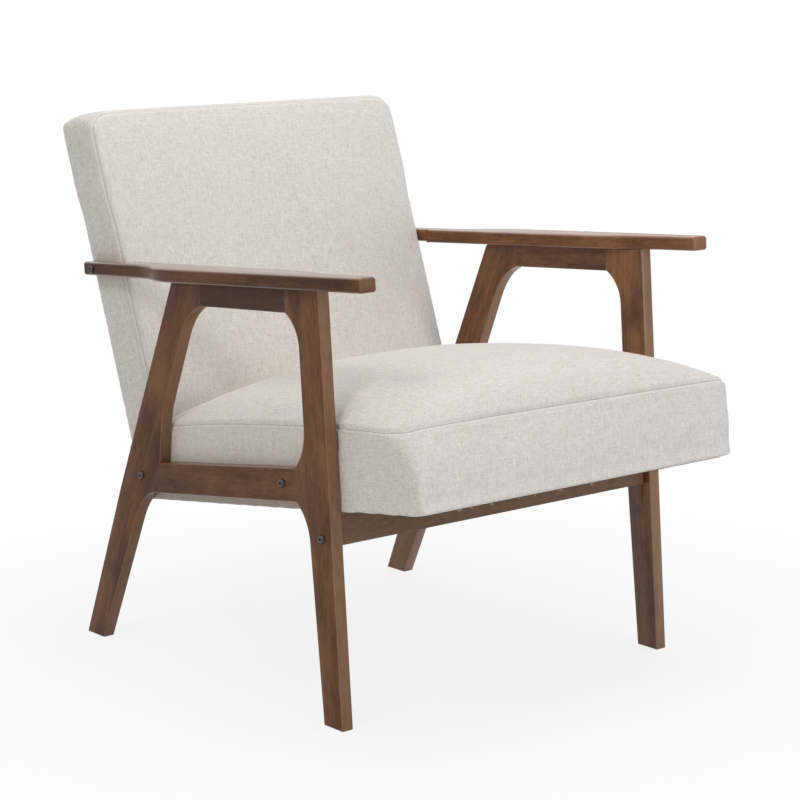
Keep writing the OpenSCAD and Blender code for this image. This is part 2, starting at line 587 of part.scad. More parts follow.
// Back form: rings from the rear face forward to the seam and over the front crown.
// It runs on below the foot by the corners' radius, so that the foot cuts its lower corners square.
back_levels = [0, 0.1, 0.35, 0.65, 0.9, 1];
module back_form(inset, base, n) {
    a = back_half - inset;
    b = (back_h + back_corner_r)/2 - inset;
    function side_ring(t) = [for (i = [0:n - 1])
        let (puff = sin(180*t), r = mix(back_rear_r, back_corner_r, t) - inset,
             p = round_point(i/n, a - 2 + 2*puff, b, r),
             up = max(0, p[1]/b))
        [p[0], mix(back_t - base, inset, t), p[1] + up*(back_bulge*puff - back_edge*pow(1 - t, 8))]];
    seam = side_ring(1);
    function crown_ring(k) = [for (p = seam) let (q = [p[0], p[2]]*k)
        [q[0], p[1] - back_crown*back_dome(q, a, b, k), q[1]]];
    in_back() translate([0, 0, (back_h - back_corner_r)/2])
        lofted(concat([for (t = back_levels) side_ring(t)], [for (k = crown_steps) crown_ring(k)]));
}
module back_foam() color(FOAM) placed() difference() {
    back_form(skin, skin, coarse_n);
    below_foot(skin + soft_gap);
    in_back() translate([-back_in - soft_gap, back_board_in - strap_t - soft_gap, -back_t])
        cube([2*(back_in + soft_gap), back_t, back_t + back_frame_top + soft_gap]);
    arm_bolt_room();
}
module back_cover() color(LINEN) placed() difference() {
    back_form(0, 0, fine_n);
    below_foot(0);
    difference() {
        back_form(cover_t, cover_t, coarse_n);
        below_foot(cover_t);
    }
    arm_bolt_room();
    long_bolt_holes(long_bolt_d + 4*bolt_play);
}
// Holes through the padding for the arm bolts
module arm_bolt_room() both_sides() rod_x(arm_bolt, bolt_d + 4*bolt_play, back_in - 1, back_pad + 4);

// Fasteners
// A button-head bolt along +X, with its head's underside at x = 0 and the shank towards -X
module button_bolt(d, l, head_d, head_h) {
    rotate([0, -90, 0]) cylinder(d = d, h = l, $fn = 32);
    rotate([0, 90, 0]) difference() {
        union() {
            cylinder(d = head_d, h = head_h*0.4, $fn = 36);
            translate([0, 0, head_h*0.4]) cylinder(d1 = head_d, d2 = head_d*0.62, h = head_h*0.6, $fn = 36);
        }
        translate([0, 0, head_h*0.35]) cylinder(d = head_d*0.36, h = head_h, $fn = 6);
    }
}
module bolt_at(p, x, l) translate([x, p[0], p[1]]) button_bolt(bolt_d, l, bolt_head_d, bolt_head_h);
module insert_nut(p, x) difference() {
    rod_x(p, insert_d, x - insert_l, insert_l);
    rod_x(p, bolt_d + fit, x - insert_l - 1, insert_l + 2);
}
module both_sides() for (side = [-1, 1]) sided(side) children();
module stretcher_bolts() color(BLACK) placed() both_sides() bolt_at(stretcher_bolt, frame_w/2, stretcher_bolt_l);
seat_bolt_l = frame_w/2 - seat_in + insert_l - 2;
module seat_bolts() color(BLACK) placed() both_sides() {
    bolt_at(side_bolt, frame_w/2, seat_bolt_l);
    bolt_at(rear_bolt, frame_w/2, seat_bolt_l);
}
arm_bolt_l = frame_w/2 - back_in + insert_l - 2;
module arm_bolts() color(BLACK) placed() both_sides() bolt_at(arm_bolt, frame_w/2, arm_bolt_l);
module stretcher_barrel_nuts() color(STEEL) placed() both_sides() difference() {
    barrel_place(barrel_d, barrel_l);
    rod_x(stretcher_bolt, bolt_d + fit, barrel_x - barrel_d, 2*barrel_d);
}
module seat_insert_nuts() color(STEEL) placed() both_sides() {
    insert_nut(side_bolt, seat_in);
    insert_nut(rear_bolt, seat_in);
}
module arm_insert_nuts() color(STEEL) placed() both_sides() insert_nut(arm_bolt, back_in);

// Long bolts from the seat frame's underside up into the back frame's bottom rail
long_bolt_head_d = 13;
long_bolt_head_h = 5;
long_nut_h = foot_h + skin + back_foot_rail_h*0.55;
module in_long() for (x = long_bolt_x) in_seat() translate([x, long_bolt_s, 0]) children();
module long_bolt_holes(d) in_long() translate([0, 0, -1]) cylinder(d = d, h = long_nut_h + 20, $fn = 32);
module back_barrels(d, l) for (x = long_bolt_x) in_seat() translate([x, long_bolt_s, long_nut_h])
    rotate([-90, 0, 0]) cylinder(d = d, h = l, center = true, $fn = 32);
module back_bolts() color(BLACK) placed() in_long() {
    translate([0, 0, -long_bolt_head_h]) difference() {
        cylinder(d = long_bolt_head_d, h = long_bolt_head_h, $fn = 6);
        translate([0, 0, -1]) cylinder(d = long_bolt_head_d*0.4, h = 3, $fn = 6);
    }
    cylinder(d = long_bolt_d, h = long_nut_h + 12, $fn = 32);
}
module back_barrel_nuts() color(STEEL) placed() difference() {
    back_barrels(barrel_d, 2*barrel_d);
    long_bolt_holes(long_bolt_d + fit);
}

module rail_dowels() color(PINE) placed() both_sides() rail_dowel_rods(dowel_d, dowel_l);
module arm_dowels() color(PINE) placed() both_sides() arm_dowel_rods(dowel_d, 0);
module stretcher_dowels() color(PINE) placed() both_sides()
    rod_x(stretcher_dowel, dowel_d, frame_in - dowel_l/2 - 2, dowel_l);
module corner_block_screws() color(STEEL) placed() block_screw_rods(screw_d);

front_leg(1);  // front_leg_left
front_leg(-1);  // front_leg_right
rear_leg(1);  // rear_leg_left
rear_leg(-1);  // rear_leg_right
top_rail(1);  // top_rail_left
top_rail(-1);  // top_rail_right
side_rail(1);  // side_rail_left
side_rail(-1);  // side_rail_right
armrest(1);  // armrest_left
armrest(-1);  // armrest_right
front_stretcher();
seat_rail_front();
seat_rail_rear();
seat_rail_side(1);  // seat_rail_left
seat_rail_side(-1);  // seat_rail_right
seat_corner_blocks();
seat_webbing();
seat_foam();
seat_cover();
seat_dust_cover();
back_stile(1);  // back_stile_left
back_stile(-1);  // back_stile_right
back_rail_top();
back_rail_middle();
back_rail_bottom();
back_webbing();
back_foam();
back_cover();
stretcher_bolts();
seat_bolts();
arm_bolts();
back_bolts();
stretcher_barrel_nuts();
seat_insert_nuts();
arm_insert_nuts();
back_barrel_nuts();
rail_dowels();
arm_dowels();
stretcher_dowels();
corner_block_screws();
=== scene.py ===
import math

import bpy
import numpy as np
from mathutils import Matrix, Vector
from mathutils.bvhtree import BVHTree
from mathutils.kdtree import KDTree


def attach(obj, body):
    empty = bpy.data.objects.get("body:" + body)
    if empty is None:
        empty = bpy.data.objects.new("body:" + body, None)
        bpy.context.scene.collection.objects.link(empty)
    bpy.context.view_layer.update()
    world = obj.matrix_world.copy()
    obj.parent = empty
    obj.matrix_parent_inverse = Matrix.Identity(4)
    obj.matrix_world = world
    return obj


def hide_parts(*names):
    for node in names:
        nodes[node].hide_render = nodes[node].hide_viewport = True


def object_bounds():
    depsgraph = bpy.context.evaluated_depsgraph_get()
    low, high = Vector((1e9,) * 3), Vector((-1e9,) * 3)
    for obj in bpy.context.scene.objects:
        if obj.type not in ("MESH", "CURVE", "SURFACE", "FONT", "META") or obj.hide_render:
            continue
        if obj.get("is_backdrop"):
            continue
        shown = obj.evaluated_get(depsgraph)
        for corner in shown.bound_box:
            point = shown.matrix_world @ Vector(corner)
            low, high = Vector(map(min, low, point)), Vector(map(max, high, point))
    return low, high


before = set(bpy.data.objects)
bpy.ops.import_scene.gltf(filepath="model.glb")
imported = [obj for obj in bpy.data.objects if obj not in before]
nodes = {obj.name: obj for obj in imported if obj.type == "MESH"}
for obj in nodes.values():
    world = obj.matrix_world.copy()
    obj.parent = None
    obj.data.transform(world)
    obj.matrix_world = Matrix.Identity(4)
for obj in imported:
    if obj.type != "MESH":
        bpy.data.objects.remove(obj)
cad_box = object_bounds()
bpy.ops.object.select_all(action="DESELECT")


# Side frames: legs, top rails and side rails of 20 mm hardwood, sawn to shape and doweled together.
# The long edges are rounded over after gluing, so the rounding runs on across the joints.
# The stain is a satin walnut, mottled, with a fine fibre along each board.
class Wire:
    """An output in a material's node tree. Sums with numbers or other wires add Math nodes."""

    def __init__(self, tree, socket):
        self.tree, self.socket = tree, socket

    def node(self, kind, settings=None, values=None, out=0):
        made = self.tree.nodes.new("ShaderNode" + kind)
        for name, value in (settings or {}).items():
            if name == "stops":
                stops = made.color_ramp.elements
                while len(stops) < len(value):
                    stops.new(0.5)
                for stop, (place, colour) in zip(stops, value):
                    stop.position, stop.color = place, (*colour, 1)
            else:
                setattr(made, name, value)
        for name, value in (values or {}).items():
            if isinstance(value, Wire):
                self.tree.links.new(value.socket, made.inputs[name])
            else:
                made.inputs[name].default_value = value
        return Wire(self.tree, made.outputs[out])

    def math(self, operation, *terms):
        return self.node("Math", {"operation": operation}, dict(enumerate(terms)))

    def __add__(self, other):
        return self.math("ADD", self, other)

    def __sub__(self, other):
        return self.math("SUBTRACT", self, other)

    def __rsub__(self, other):
        return self.math("SUBTRACT", other, self)

    def __mul__(self, other):
        return self.math("MULTIPLY", self, other)

    def __truediv__(self, other):
        return self.math("DIVIDE", self, other)

    __radd__, __rmul__ = __add__, __mul__

    def along(self, direction):
        """How far this point lies along a direction."""
        return self.node("VectorMath", {"operation": "DOT_PRODUCT"}, {0: self, 1: direction}, "Value")

    def point(self, x, y, z=0.0):
        return self.node("CombineXYZ", {}, {0: x, 1: y, 2: z})

    def absolute(self):
        return self.math("ABSOLUTE", self)

    def wave(self):
        """A sine of this value, between 0 and 1."""
        return self.math("SINE", self) * 0.5 + 0.5

    def noise(self, scale, detail=3.0, rough=0.5, bend=0.0):
        values = {"Vector": self, "Scale": scale, "Detail": detail, "Roughness": rough, "Distortion": bend}
        return self.node("TexNoise", {}, values)

    def ramp(self, *stops):
        return self.node("ValToRGB", {"stops": stops}, {0: self})

    def band(self, low, high):
        """0 below low, 1 above high, smooth between."""
        values = {"Value": self, "From Min": low, "From Max": high}
        return self.node("MapRange", {"interpolation_type": "SMOOTHSTEP"}, values)

    def blend(self, other, share, how="MIX"):
        """This colour with another one laid over it by a share."""
        return self.node("Mix", {"data_type": "RGBA", "blend_type": how}, {0: share, 6: self, 7: other}, 2)

    def to(self, shader, name):
        self.tree.links.new(self.socket, shader.inputs[name])

    def bump(self, shader, strength, distance=0.0004):
        """Raises a shader's surface by this height."""
        values = {"Strength": strength, "Distance": distance, "Height": self}
        self.node("Bump", {}, values).to(shader, "Normal")


def finish_of(name, **fixed):
    """A new material, its Principled shader with what is the same all over set on it, and its Object
    coordinates."""
    material = bpy.data.materials.new(name)
    material.use_nodes = True
    shader = material.node_tree.nodes["Principled BSDF"]
    for socket, value in fixed.items():
        shader.inputs[socket.replace("_", " ")].default_value = value
    here = Wire(material.node_tree, material.node_tree.nodes.new("ShaderNodeTexCoord").outputs["Object"])
    return material, shader, here


def walnut(name, along, across, seed, tone=1.0, sheen=0.02, polish=0.48, rubbed_and_front_lit=0.62):
    """Stained hardwood with its grain in one direction. Its narrow faces are painted paler, a painted light.
    polish is the gloss of what faces up. The last argument sets how much paler what faces ahead is painted, a
    painted light. tone scales the whole colour, and the callers use it to paint light and shade on whole
    pieces."""
    material, shader, here = finish_of(name, Coat_Roughness=0.09, IOR=1.45, Specular_IOR_Level=0.16)
    run, width, depth = here.along(along), here.along(across), here.along(Vector(along).cross(Vector(across)))
    figure = here.point(run * 3.0 + seed, width * 34, depth * 34).noise(1.0, 4, 0.55, 0.9)
    fibre = here.point(run * 26 + seed, width * 900, depth * 900).noise(1.0, 3, 0.6)
    cloud = here.point(run * 9 + seed * 2, width * 22, depth * 22).noise(1.0, 3, 0.5, 0.4)
    flame = here.point(run * 5 + seed * 3, width * 13, depth * 13).noise(1.0, 2, 0.5, 1.2)
    mottle = here.point(run * 60 + seed, width * 190, depth * 190).noise(1.0, 3, 0.6)
    stain = figure * 0.26 + cloud * 0.28 + fibre * 0.12 + flame * 0.18 + mottle * 0.16
    facing = here.node("NewGeometry", out="Normal")
    sideways = facing.along((1, 0, 0)).absolute()
    flat = sideways.band(0.5, 0.95)
    upward = facing.along((0, 0, 1)).band(0.2, 0.95)
    arris = sideways.band(0.12, 0.35) * (1.0 - sideways.band(0.86, 0.97))
    forward = facing.along((0, -1, 0)).band(0.6, 0.95)
    # Painted light: the narrow faces, those not turned sideways, take a paler part of the ramp.
    colour = (stain + 0.07 - 0.07 * flat).band(0.39, 0.63).ramp(
        (0.0, tuple(tone * c for c in (0.070, 0.0250, 0.0085))),
        (0.3, tuple(tone * c for c in (0.118, 0.0440, 0.0150))),
        (0.62, tuple(tone * c for c in (0.170, 0.0680, 0.0240))),
        (1.0, tuple(tone * c for c in (0.235, 0.1000, 0.0380))))
    pores = fibre.band(0.58, 0.72)
    colour = colour.blend((0.030, 0.012, 0.005, 1), pores * 0.45)
    # Painted light: the narrow faces are painted paler still.
    colour = colour.blend((0.225, 0.130, 0.078, 1), 0.16 - 0.16 * flat)
    # Painted light: what faces ahead is painted paler, as the front light falls on it.
    colour = colour.blend((0.300, 0.195, 0.125, 1), forward * rubbed_and_front_lit * (0.16 + mottle))
    colour.to(shader, "Base Color")
    (0.33 + 0.12 * fibre + 0.10 * cloud).to(shader, "Roughness")
    (sheen + 0.08 * figure + polish * upward + 0.70 * arris).to(shader, "Coat Weight")
    (fibre * 0.6 + figure * 0.4).bump(shader, 0.16)
    return material


def corners_of(node, facing):
    """The outline of a CAD board's outermost flat face towards a direction: its corners in order."""
    mesh = nodes[node].data
    facing = Vector(facing).normalized()
    places, names = {}, []
    for vertex in mesh.vertices:
        key = tuple(round(c, 5) for c in vertex.co)
        names.append(places.setdefault(key, len(places)))
    points = [Vector(key) for key in places]
    level = max(p.dot(facing) for p in points)
    edges = {}
    for face in mesh.polygons:
        ring = [names[i] for i in face.vertices]
        if face.normal.dot(facing) > 0.999 and all(abs(points[i].dot(facing) - level) < 2e-5 for i in ring):
            for a, b in zip(ring, ring[1:] + ring[:1]):
                if (b, a) in edges:
                    del edges[(b, a)]
                else:
                    edges[(a, b)] = True
    after, loops = dict(edges), []
    while after:
        start = next(iter(after))[0]
        loop, at = [], start
        steps = {a: b for a, b in after}
        while at in steps and at not in loop:
            loop.append(at)
            at = steps[at]
        for a in loop:
            after.pop((a, steps[a]), None)
        loops.append(loop)

    def girth(loop):
        return sum((points[a] - points[b]).length for a, b in zip(loop, loop[1:] + loop[:1]))

    return [points[i] for i in max(loops, key=girth)]


def on_outline(p, outline, near=2e-4):
    """Whether a point lies on an outline."""
    for a, b in zip(outline, outline[1:] + outline[:1]):
        t = max(0.0, min(1.0, (p - a).dot(b - a) / max((b - a).length_squared, 1e-12)))
        if (a + (b - a) * t - p).length < near:
            return True
    return False


def pick(*pieces):
    """Selects these pieces alone, and makes the first one active."""
    bpy.ops.object.select_all(action="DESELECT")
    for each in pieces:
        each.select_set(True)
    bpy.context.view_layer.objects.active = pieces[0]


def finish_by(made, kind, **settings):
    """Gives the active piece a modifier with these settings, and applies it."""
    modifier = made.modifiers.new(kind.lower(), kind)
    for setting, value in settings.items():
        setattr(modifier, setting, value)
    bpy.ops.object.modifier_apply(modifier=modifier.name)


def board(name, outline, through, rounding, joints=(), segments=4):
    """Saws an outline out of a board, extrudes it through its thickness, and rounds over its long edges,
    leaving those that lie in a joint with another board's outline, which only get a hairline."""
    bpy.ops.object.select_all(action="DESELECT")
    bpy.ops.mesh.primitive_circle_add(vertices=len(outline), fill_type="NGON")
    made = bpy.context.object
    made.name = name
    for vertex, place in zip(made.data.vertices, outline):
        vertex.co = place
    bpy.ops.object.mode_set(mode="EDIT")
    bpy.ops.mesh.select_all(action="SELECT")
    bpy.ops.mesh.extrude_region_move(TRANSFORM_OT_translate={"value": through})
    bpy.ops.mesh.select_all(action="SELECT")
    bpy.ops.mesh.normals_make_consistent(inside=False)
    bpy.ops.mesh.select_all(action="DESELECT")
    bpy.ops.mesh.select_mode(type="EDGE")
    bpy.ops.object.mode_set(mode="OBJECT")
    mesh, through = made.data, Vector(through)
    for edge in mesh.edges:
        a, b = (mesh.vertices[i].co for i in edge.vertices)
        lengthwise = abs((b - a).dot(through.normalized())) < 1e-5
        middle = (a + b) / 2
        back = middle - through if (middle - outline[0]).dot(through) > through.length_squared / 2 else middle
        joined = any(on_outline(back, other) and on_outline(back + (b - a) * 0.25, other) for other in joints)
        edge.select = lengthwise and not joined
    bpy.ops.object.mode_set(mode="EDIT")
    bpy.ops.mesh.bevel(offset=rounding, segments=segments, profile=0.5, affect="EDGES")
    bpy.ops.object.mode_set(mode="OBJECT")
    finish_by(made, "BEVEL", width=hairline_width, segments=1,
              limit_method="ANGLE", angle_limit=math.radians(50))
    bpy.ops.object.shade_smooth_by_angle(angle=math.radians(32))
    return made


stock = 0.020
frame_outer = 0.310
edge_rounding = 0.0020
hairline_width = 0.0004
leg_rake = Vector((0, math.sin(math.radians(3.7)), math.cos(math.radians(3.7))))
rear_rake = Vector((0, -math.sin(math.radians(25)), math.cos(math.radians(25))))
rail_run = Vector((0, math.cos(math.radians(7.6)), -math.sin(math.radians(7.6))))
top_run = Vector((0, math.cos(math.radians(3.95)), -math.sin(math.radians(3.95))))
right_sheen, left_sheen = 0.02, 0.45
# The tones paint light and shade: the left frame's pieces are painted lighter, a painted light, and the right
# top rail is painted dark at 0.34, a painted shadow under the armrest.
frame_parts = {"front_leg": (leg_rake, 1.0, 1.32), "rear_leg": (rear_rake, 0.82, 1.12),
               "top_rail": (top_run, 0.34, 1.05), "side_rail": (rail_run, 0.74, 0.92)}
for seed, (side_name, side) in enumerate((("left", 1), ("right", -1))):
    outlines = {part: corners_of(f"{part}_{side_name}", (side, 0, 0)) for part in frame_parts}
    for number, (part, (grain, right_tone_with_painted_shade, left_tone_with_painted_light)) in enumerate(frame_parts.items()):
        others = [outline for other, outline in outlines.items() if other != part]
        piece = board(f"{side_name}_{part}", outlines[part], (-side * stock, 0, 0), edge_rounding, others)
        across = grain.cross(Vector((1, 0, 0)))
        tone, sheen = (left_tone_with_painted_light, left_sheen) if side > 0 else (right_tone_with_painted_shade, right_sheen)
        piece.data.materials.append(
            walnut(f"walnut stain, {side_name} {part}".replace("_", " "), grain, across,
                   3.7 * number + 11 * seed, tone, sheen))
        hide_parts(f"{part}_{side_name}")
        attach(piece, "root")


# Armrests: flat boards on top of the side frames, flared and round-cornered at the front, with an
# S-shaped step on the outside and a notch round the back panel at the rear. All edges are well rounded.
arm_thick = 0.0205
arm_rounding = 0.0042
arm_up = Vector((0, math.sin(math.radians(3.95)), math.cos(math.radians(3.95))))
# The first number is the tone: the left armrest is painted lighter at 1.18 and the right one darker at 0.74,
# painted light and shade.
arm_shading_and_finishes = {"left": (1.18, 0.26, 0.24, 0.05), "right": (0.74, 0.02, 0.96, 0.05)}
for side_name, side in (("left", 1), ("right", -1)):
    outline = corners_of(f"armrest_{side_name}", arm_up)
    piece = board(f"{side_name}_armrest", outline, tuple(-arm_thick * arm_up), arm_rounding, segments=5)
    piece.data.materials.append(
        walnut(f"walnut stain, {side_name} armrest", top_run, Vector((1, 0, 0)), 23.0 + 7 * side,
               *arm_shading_and_finishes[side_name]))
    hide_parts(f"armrest_{side_name}")
    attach(piece, "root")


# Front stretcher: a hardwood rail between the front legs, bolted from outside, with its top edge
# bevelled to the underside of the seat.
stretcher_half = 0.290
outline = corners_of("front_stretcher", (1, 0, 0))
piece = board("front_stretcher_rail", outline, (-2 * stretcher_half, 0, 0), 0.0022)
# Painted shade: the tone of 0.55 paints the stretcher darker, as the seat above shades it.
piece.data.materials.append(
    walnut("walnut stain, front stretcher", Vector((1, 0, 0)), leg_rake, 41.0, 0.55))
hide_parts("front_stretcher")
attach(piece, "root")


# Bolts: button-head socket bolts of blackened steel, two through each side frame into the seat frame,
# one into the stretcher and one through the rear end of each arm into the back frame.
bolt_head, bolt_rise, bolt_shank, bolt_key = 0.0125, 0.0036, 0.006, 0.0040
plain_rise, key_depth = 0.0033, 0.004
black_steel, shader, here = finish_of("blackened steel", Metallic=0.9)
rubbed_and_front_lit = here.noise(900, 4, 0.6)
rubbed_and_front_lit.ramp((0.35, (0.050, 0.049, 0.048)), (0.8, (0.140, 0.136, 0.132))).to(shader, "Base Color")
(0.22 + 0.22 * rubbed_and_front_lit).to(shader, "Roughness")


def button_bolt(length):
    """A bolt along X with its head's underside at the origin: a round head with a hex socket, and a shank."""
    bpy.ops.object.select_all(action="DESELECT")
    bpy.ops.mesh.primitive_cylinder_add(vertices=40, radius=bolt_head / 2, depth=bolt_rise,
                                        location=(0, 0, bolt_rise / 2))
    bolt = bpy.context.object
    mesh = bolt.data
    bpy.ops.object.mode_set(mode="EDIT")
    bpy.ops.mesh.select_all(action="DESELECT")
    bpy.ops.mesh.select_mode(type="EDGE")
    bpy.ops.object.mode_set(mode="OBJECT")
    for edge in mesh.edges:
        edge.select = all(mesh.vertices[i].co.z > bolt_rise / 4 for i in edge.vertices)
    bpy.ops.object.mode_set(mode="EDIT")
    bpy.ops.mesh.bevel(offset=bolt_rise * 0.72, segments=6, profile=0.5, affect="EDGES")
    bpy.ops.object.mode_set(mode="OBJECT")
    bpy.ops.object.select_all(action="DESELECT")
    bpy.ops.mesh.primitive_cylinder_add(vertices=6, radius=bolt_key / 2 / math.cos(math.pi / 6),
                                        depth=key_depth, location=(0, 0, bolt_rise + 0.0002))
    key = bpy.context.object
    pick(bolt)
    bpy.ops.object.transform_apply(location=True, rotation=True, scale=True)
    finish_by(bolt, "BOOLEAN", operation="DIFFERENCE", object=key, solver="EXACT")
    bpy.data.objects.remove(key)
    bpy.ops.mesh.primitive_cylinder_add(vertices=20, radius=bolt_shank / 2, depth=length,
                                        location=(0, 0, -length / 2))
    pick(bolt, bpy.context.object)
    bpy.ops.object.join()
    bolt.data.transform(Matrix.Rotation(math.radians(90), 4, "Y"))
    bpy.ops.object.shade_smooth_by_angle(angle=math.radians(40))
    return bolt


def solids_of(node, seen_from=lambda points: np.asarray(points)):
    """The boxes of a CAD node's separate solids, told apart by their shared corners, as seen from a piece's
    own frame."""
    mesh, keys, owner = nodes[node].data, {}, []
    for vertex in mesh.vertices:
        owner.append(keys.setdefault(tuple(round(c, 5) for c in vertex.co), len(keys)))
    parent = list(range(len(keys)))

    def root(i):
        while parent[i] != i:
            parent[i] = parent[parent[i]]
            i = parent[i]
        return i

    for face in mesh.polygons:
        ring = [owner[i] for i in face.vertices]
        for other in ring[1:]:
            parent[root(other)] = root(ring[0])
    groups = {}
    for key, i in keys.items():
        groups.setdefault(root(i), []).append(key)
    return [(np.min(seen_from(group), 0), np.max(seen_from(group), 0)) for group in groups.values()]


def copy_of(piece):
    """A copy of a piece, with its own mesh."""
    made = bpy.data.objects.new(piece.name, piece.data.copy())
    bpy.context.scene.collection.objects.link(made)
    return made


def joined(pieces, name):
    """Joins pieces into one."""
    pick(*pieces)
    bpy.ops.object.join()
    bpy.context.object.name = name
    return bpy.context.object


for node in ("seat_bolts", "stretcher_bolts", "arm_bolts"):
    boxes = solids_of(node)
    first = button_bolt(boxes[0][1][0] - boxes[0][0][0] - plain_rise)
    bolts = [first] + [copy_of(first) for box in boxes[1:]]
    for bolt, (low, high) in zip(bolts, boxes):
        side = 1 if low[0] + high[0] > 0 else -1
        if side < 0:
            bolt.data.transform(Matrix.Rotation(math.pi, 4, "Z"))
        axis_y, axis_z = (low[1] + high[1]) / 2, (low[2] + high[2]) / 2
        bolt.data.transform(Matrix.Translation((side * frame_outer, axis_y, axis_z)))
    piece = joined(bolts, node.replace("bolts", "button_bolts"))
    piece.data.materials.append(black_steel)
    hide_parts(node)
    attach(piece, "root")


# Back cushion: a foam pad on a boarded frame, in a linen-look cover of a front panel, boxing round it and a
# rear. A seam with a second row of stitches runs round the front panel. Its cut foot stands on the seat
# frame, and it is blown up a little in a cloth simulation.
half_w_back, back_depth, back_tall = 0.2875, 0.084, 0.5155
back_lean = math.radians(19.3)
back_zero = Vector((0, 0.183646, 0.322808))
back_up = Vector((0, math.sin(back_lean), math.cos(back_lean)))
back_rear = Vector((0, math.cos(back_lean), -math.sin(back_lean)))
seat_tilt = math.radians(7.75)
seat_zero = Vector((0, -0.432314, 0.326))
seat_run = Vector((0, math.cos(seat_tilt), -math.sin(seat_tilt)))
seat_up = Vector((0, math.sin(seat_tilt), math.cos(seat_tilt)))
back_frame = back_zero, back_rear, back_up
seat_frame = seat_zero, seat_run, seat_up
frame_top_h = 0.0799


def turn_outward():
    """Turns the faces of the active piece outward."""
    bpy.ops.object.mode_set(mode="EDIT")
    bpy.ops.mesh.select_all(action="SELECT")
    bpy.ops.mesh.normals_make_consistent(inside=False)
    bpy.ops.object.mode_set(mode="OBJECT")


def placed(points, zero, second, third):
    """Points given across the chair and along two directions, put in the chair's frame."""
    points = np.asarray(points, float)
    across = np.array(zero) + points[:, :1] * (1, 0, 0)
    return across + points[:, 1:2] * np.array(second) + points[:, 2:] * np.array(third)


def measured(points, zero, second, third):
    """Points of the chair's frame, given across the chair and along two directions."""
    points = np.asarray(points, float) - np.array(zero)
    return np.stack([points[:, 0], points @ np.array(second), points @ np.array(third)], 1)


def soft_box(half_x, half_y, radius, count=480):
    """Evenly spaced points round a rectangle with round corners, from the middle of its far side."""
    turns = np.linspace(0, 1, 4001)[:-1] * 4
    quarter, along = np.floor(turns).astype(int), turns % 1
    corner = np.array([(1, 1), (-1, 1), (-1, -1), (1, -1)])[quarter] * (half_x - radius, half_y - radius)
    angle = (quarter + along) * math.pi / 2
    ring = corner + radius * np.stack([np.cos(angle), np.sin(angle)], 1)
    ring = np.roll(ring, -500, 0)
    step = np.linalg.norm(np.roll(ring, -1, 0) - ring, axis=1)
    length = np.concatenate([[0], np.cumsum(step)])
    ring = np.concatenate([ring, ring[:1]])
    at = np.linspace(0, length[-1], count + 1)[:-1]
    return np.stack([np.interp(at, length, ring[:, 0]), np.interp(at, length, ring[:, 1])], 1)


def skin_over(name, rings):
    """A closed skin over rings of equal length, capped by a point in the middle of the first and the last."""
    count, levels = len(rings[0]), len(rings)
    points = np.concatenate(list(rings) + [np.mean(rings[0], 0)[None], np.mean(rings[-1], 0)[None]])
    faces = []
    for i in range(count):
        j = (i + 1) % count
        for k in range(levels - 1):
            faces.append((k * count + i, k * count + j, (k + 1) * count + j, (k + 1) * count + i))
        faces.append((levels * count, j, i))
        faces.append((levels * count + 1, (levels - 1) * count + i, (levels - 1) * count + j))
    mesh = bpy.data.meshes.new(name)
    mesh.from_pydata(points.tolist(), [], faces)
    made = bpy.data.objects.new(name, mesh)
    bpy.context.scene.collection.objects.link(made)
    pick(made)
    turn_outward()
    return made


def cut_away(piece, corners):
    """Takes a block with the given side view, across the whole chair, out of a piece."""
    bpy.ops.object.select_all(action="DESELECT")
    bpy.ops.mesh.primitive_cube_add()
    block = bpy.context.object
    for vertex in block.data.vertices:
        corner = corners[(0 if vertex.co.y < 0 else 1) if vertex.co.z < 0 else (3 if vertex.co.y < 0 else 2)]
        vertex.co = (vertex.co.x * 0.5, corner.y, corner.z)
    turn_outward()
    pick(piece)
    finish_by(piece, "BOOLEAN", operation="DIFFERENCE", object=block, solver="EXACT")
    bpy.data.objects.remove(block)


def ease(low, high, v):
    """0 below low, 1 above high, smooth between."""
    t = np.clip((v - low) / (high - low), 0, 1)
    return t * t * (3 - 2 * t)


def squared(first, second, reach=0.016, least=0.12):
    """Draws the round of an edge tight over the frame, where both ways to its two faces are short."""
    kept = 1 - (1 - least) * ease(reach, 0, first) * ease(reach, 0, second)
    return first * kept, second * kept


def places_of(piece):
    """Where the piece's vertices are."""
    points = np.empty(len(piece.data.vertices) * 3)
    piece.data.vertices.foreach_get("co", points)
    return points.reshape(-1, 3)


def move_to(piece, points):
    piece.data.vertices.foreach_set("co", np.asarray(points, np.float32).ravel())
    piece.data.update()


def normals_of(piece):
    normals = np.empty(len(piece.data.vertices) * 3)
    piece.data.vertex_normals.foreach_get("vector", normals)
    return normals.reshape(-1, 3)


